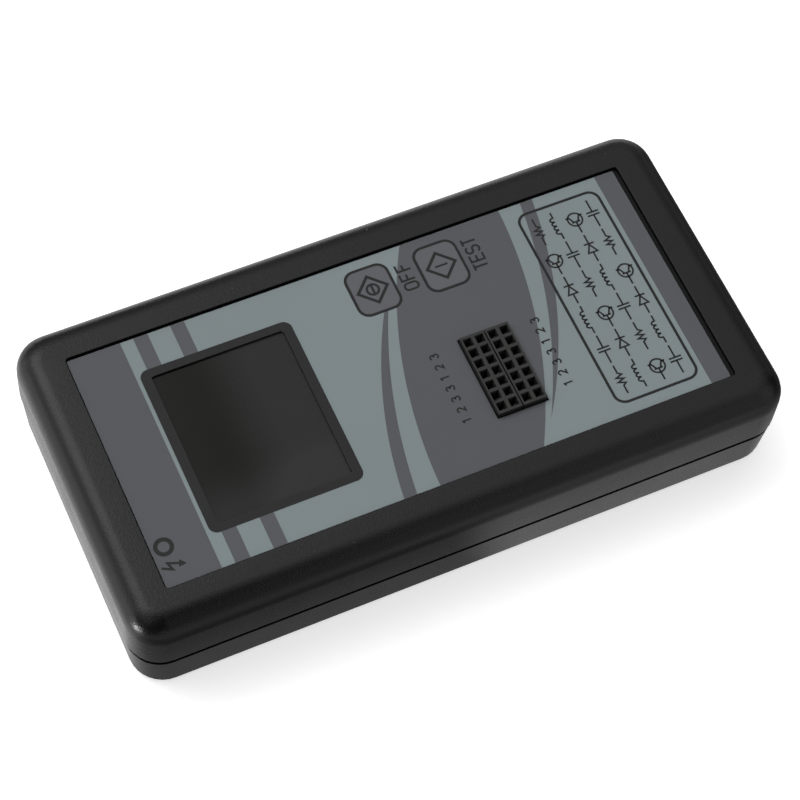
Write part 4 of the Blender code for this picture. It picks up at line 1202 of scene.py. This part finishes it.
def diode():
    arrow = stroke((-0.6, -0.6), (0.55, 0), (-0.6, 0.6), closed=True)
    bar = stroke((0.66, -0.66), (0.66, 0.66))
    return [arrow, bar, stroke((-2, 0), (-0.66, 0)), stroke((0.72, 0), (2, 0))]


def transistor():
    ring = stroke(*circle((0, 0), 0.92), closed=True)
    legs = [stroke((-0.28, 0.3 * s), (0.42, 0.66 * s), (0.42, 1.1 * s)) for s in (-1, 1)]
    return [ring, stroke((-0.34, -0.55), (-0.34, 0.55)), stroke((-2, 0), (-0.38, 0)), *legs]


SYMBOLS = (resistor, capacitor, coil, diode, transistor)

symbols = bmesh.new()
frame_middle = [(a + b) / 2 for a, b in zip(FRAME_LOW, FRAME_HIGH)]
row_pitch = (FRAME_HIGH[0] - FRAME_LOW[0] - ROWS_MARGIN) / SYMBOL_ROWS
column_pitch = (FRAME_HIGH[1] - FRAME_LOW[1] - COLUMNS_MARGIN) / SYMBOL_COLUMNS
for row, x in enumerate(evenly(SYMBOL_ROWS, row_pitch, frame_middle[0])):
    for column, y in enumerate(evenly(SYMBOL_COLUMNS, column_pitch, frame_middle[1])):
        symbol = SYMBOLS[(row * ROW_START + column) % len(SYMBOLS)]
        draw_strokes(symbols, symbol(), (x, y), SYMBOL_UNIT, SYMBOL_UNIT, SYMBOL_LINE)
add_piece("circuit_symbols", symbols, black_ink)


# %% [markdown]
# ## Spring contacts
#
# A test socket works because each well holds two tinned leaves that bow towards each other and grip a
# lead. They sit deep in the well and show as small glints. A leaf is a strip that follows a sine curve:
# wide apart at the foot, nearest to each other just below the middle, and flared at the top to guide the
# lead in.

# %% Spring contacts
WELL_ROWS = 7
WELL_COLUMNS = 2
WELL_DEPTH = 6.2
LEAF_TOP = 2.2
LEAF_FOOT = 0.10
LEAF_THICK = 0.12
LEAF_WIDE = 1.0
LEAF_APART = 0.60
LEAF_BOW = 0.44
LEAF_SKEW = 0.8
LEAF_STEPS = 10
LEAF_CORNERS = [(-1, -1), (1, -1), (1, 1), (-1, 1)]


def spring_leaf(bm, x, y, low, high, side):
    """One bowed leaf of a contact. side is -1 or 1."""
    rings = []
    for i in range(LEAF_STEPS + 1):
        t = i / LEAF_STEPS
        middle = x + side * (LEAF_APART - LEAF_BOW * math.sin(math.pi * t**LEAF_SKEW))
        z = low + t * (high - low)
        ring = [(middle + a * LEAF_THICK / 2, y + b * LEAF_WIDE / 2, z) for a, b in LEAF_CORNERS]
        rings.append([bm.verts.new(point) for point in ring])
    for lower, upper in zip(rings, rings[1:]):
        for k in range(4):
            n = (k + 1) % 4
            bm.faces.new((lower[k], lower[n], upper[n], upper[k]))
    bm.faces.new(rings[0][::-1])
    bm.faces.new(rings[-1])


for socket in ("socket_left", "socket_right"):
    low, high = box_mm(socket)
    middle = (low + high) / 2
    foot, tip = high.z - WELL_DEPTH + LEAF_FOOT, high.z - LEAF_TOP
    leaves = bmesh.new()
    for x in evenly(WELL_COLUMNS, PIN_PITCH, middle.x):
        for y in evenly(WELL_ROWS, PIN_PITCH, middle.y):
            for side in (-1, 1):
                spring_leaf(leaves, x, y, foot, tip, side)
    add_piece(f"{socket}_contacts", leaves, tin)
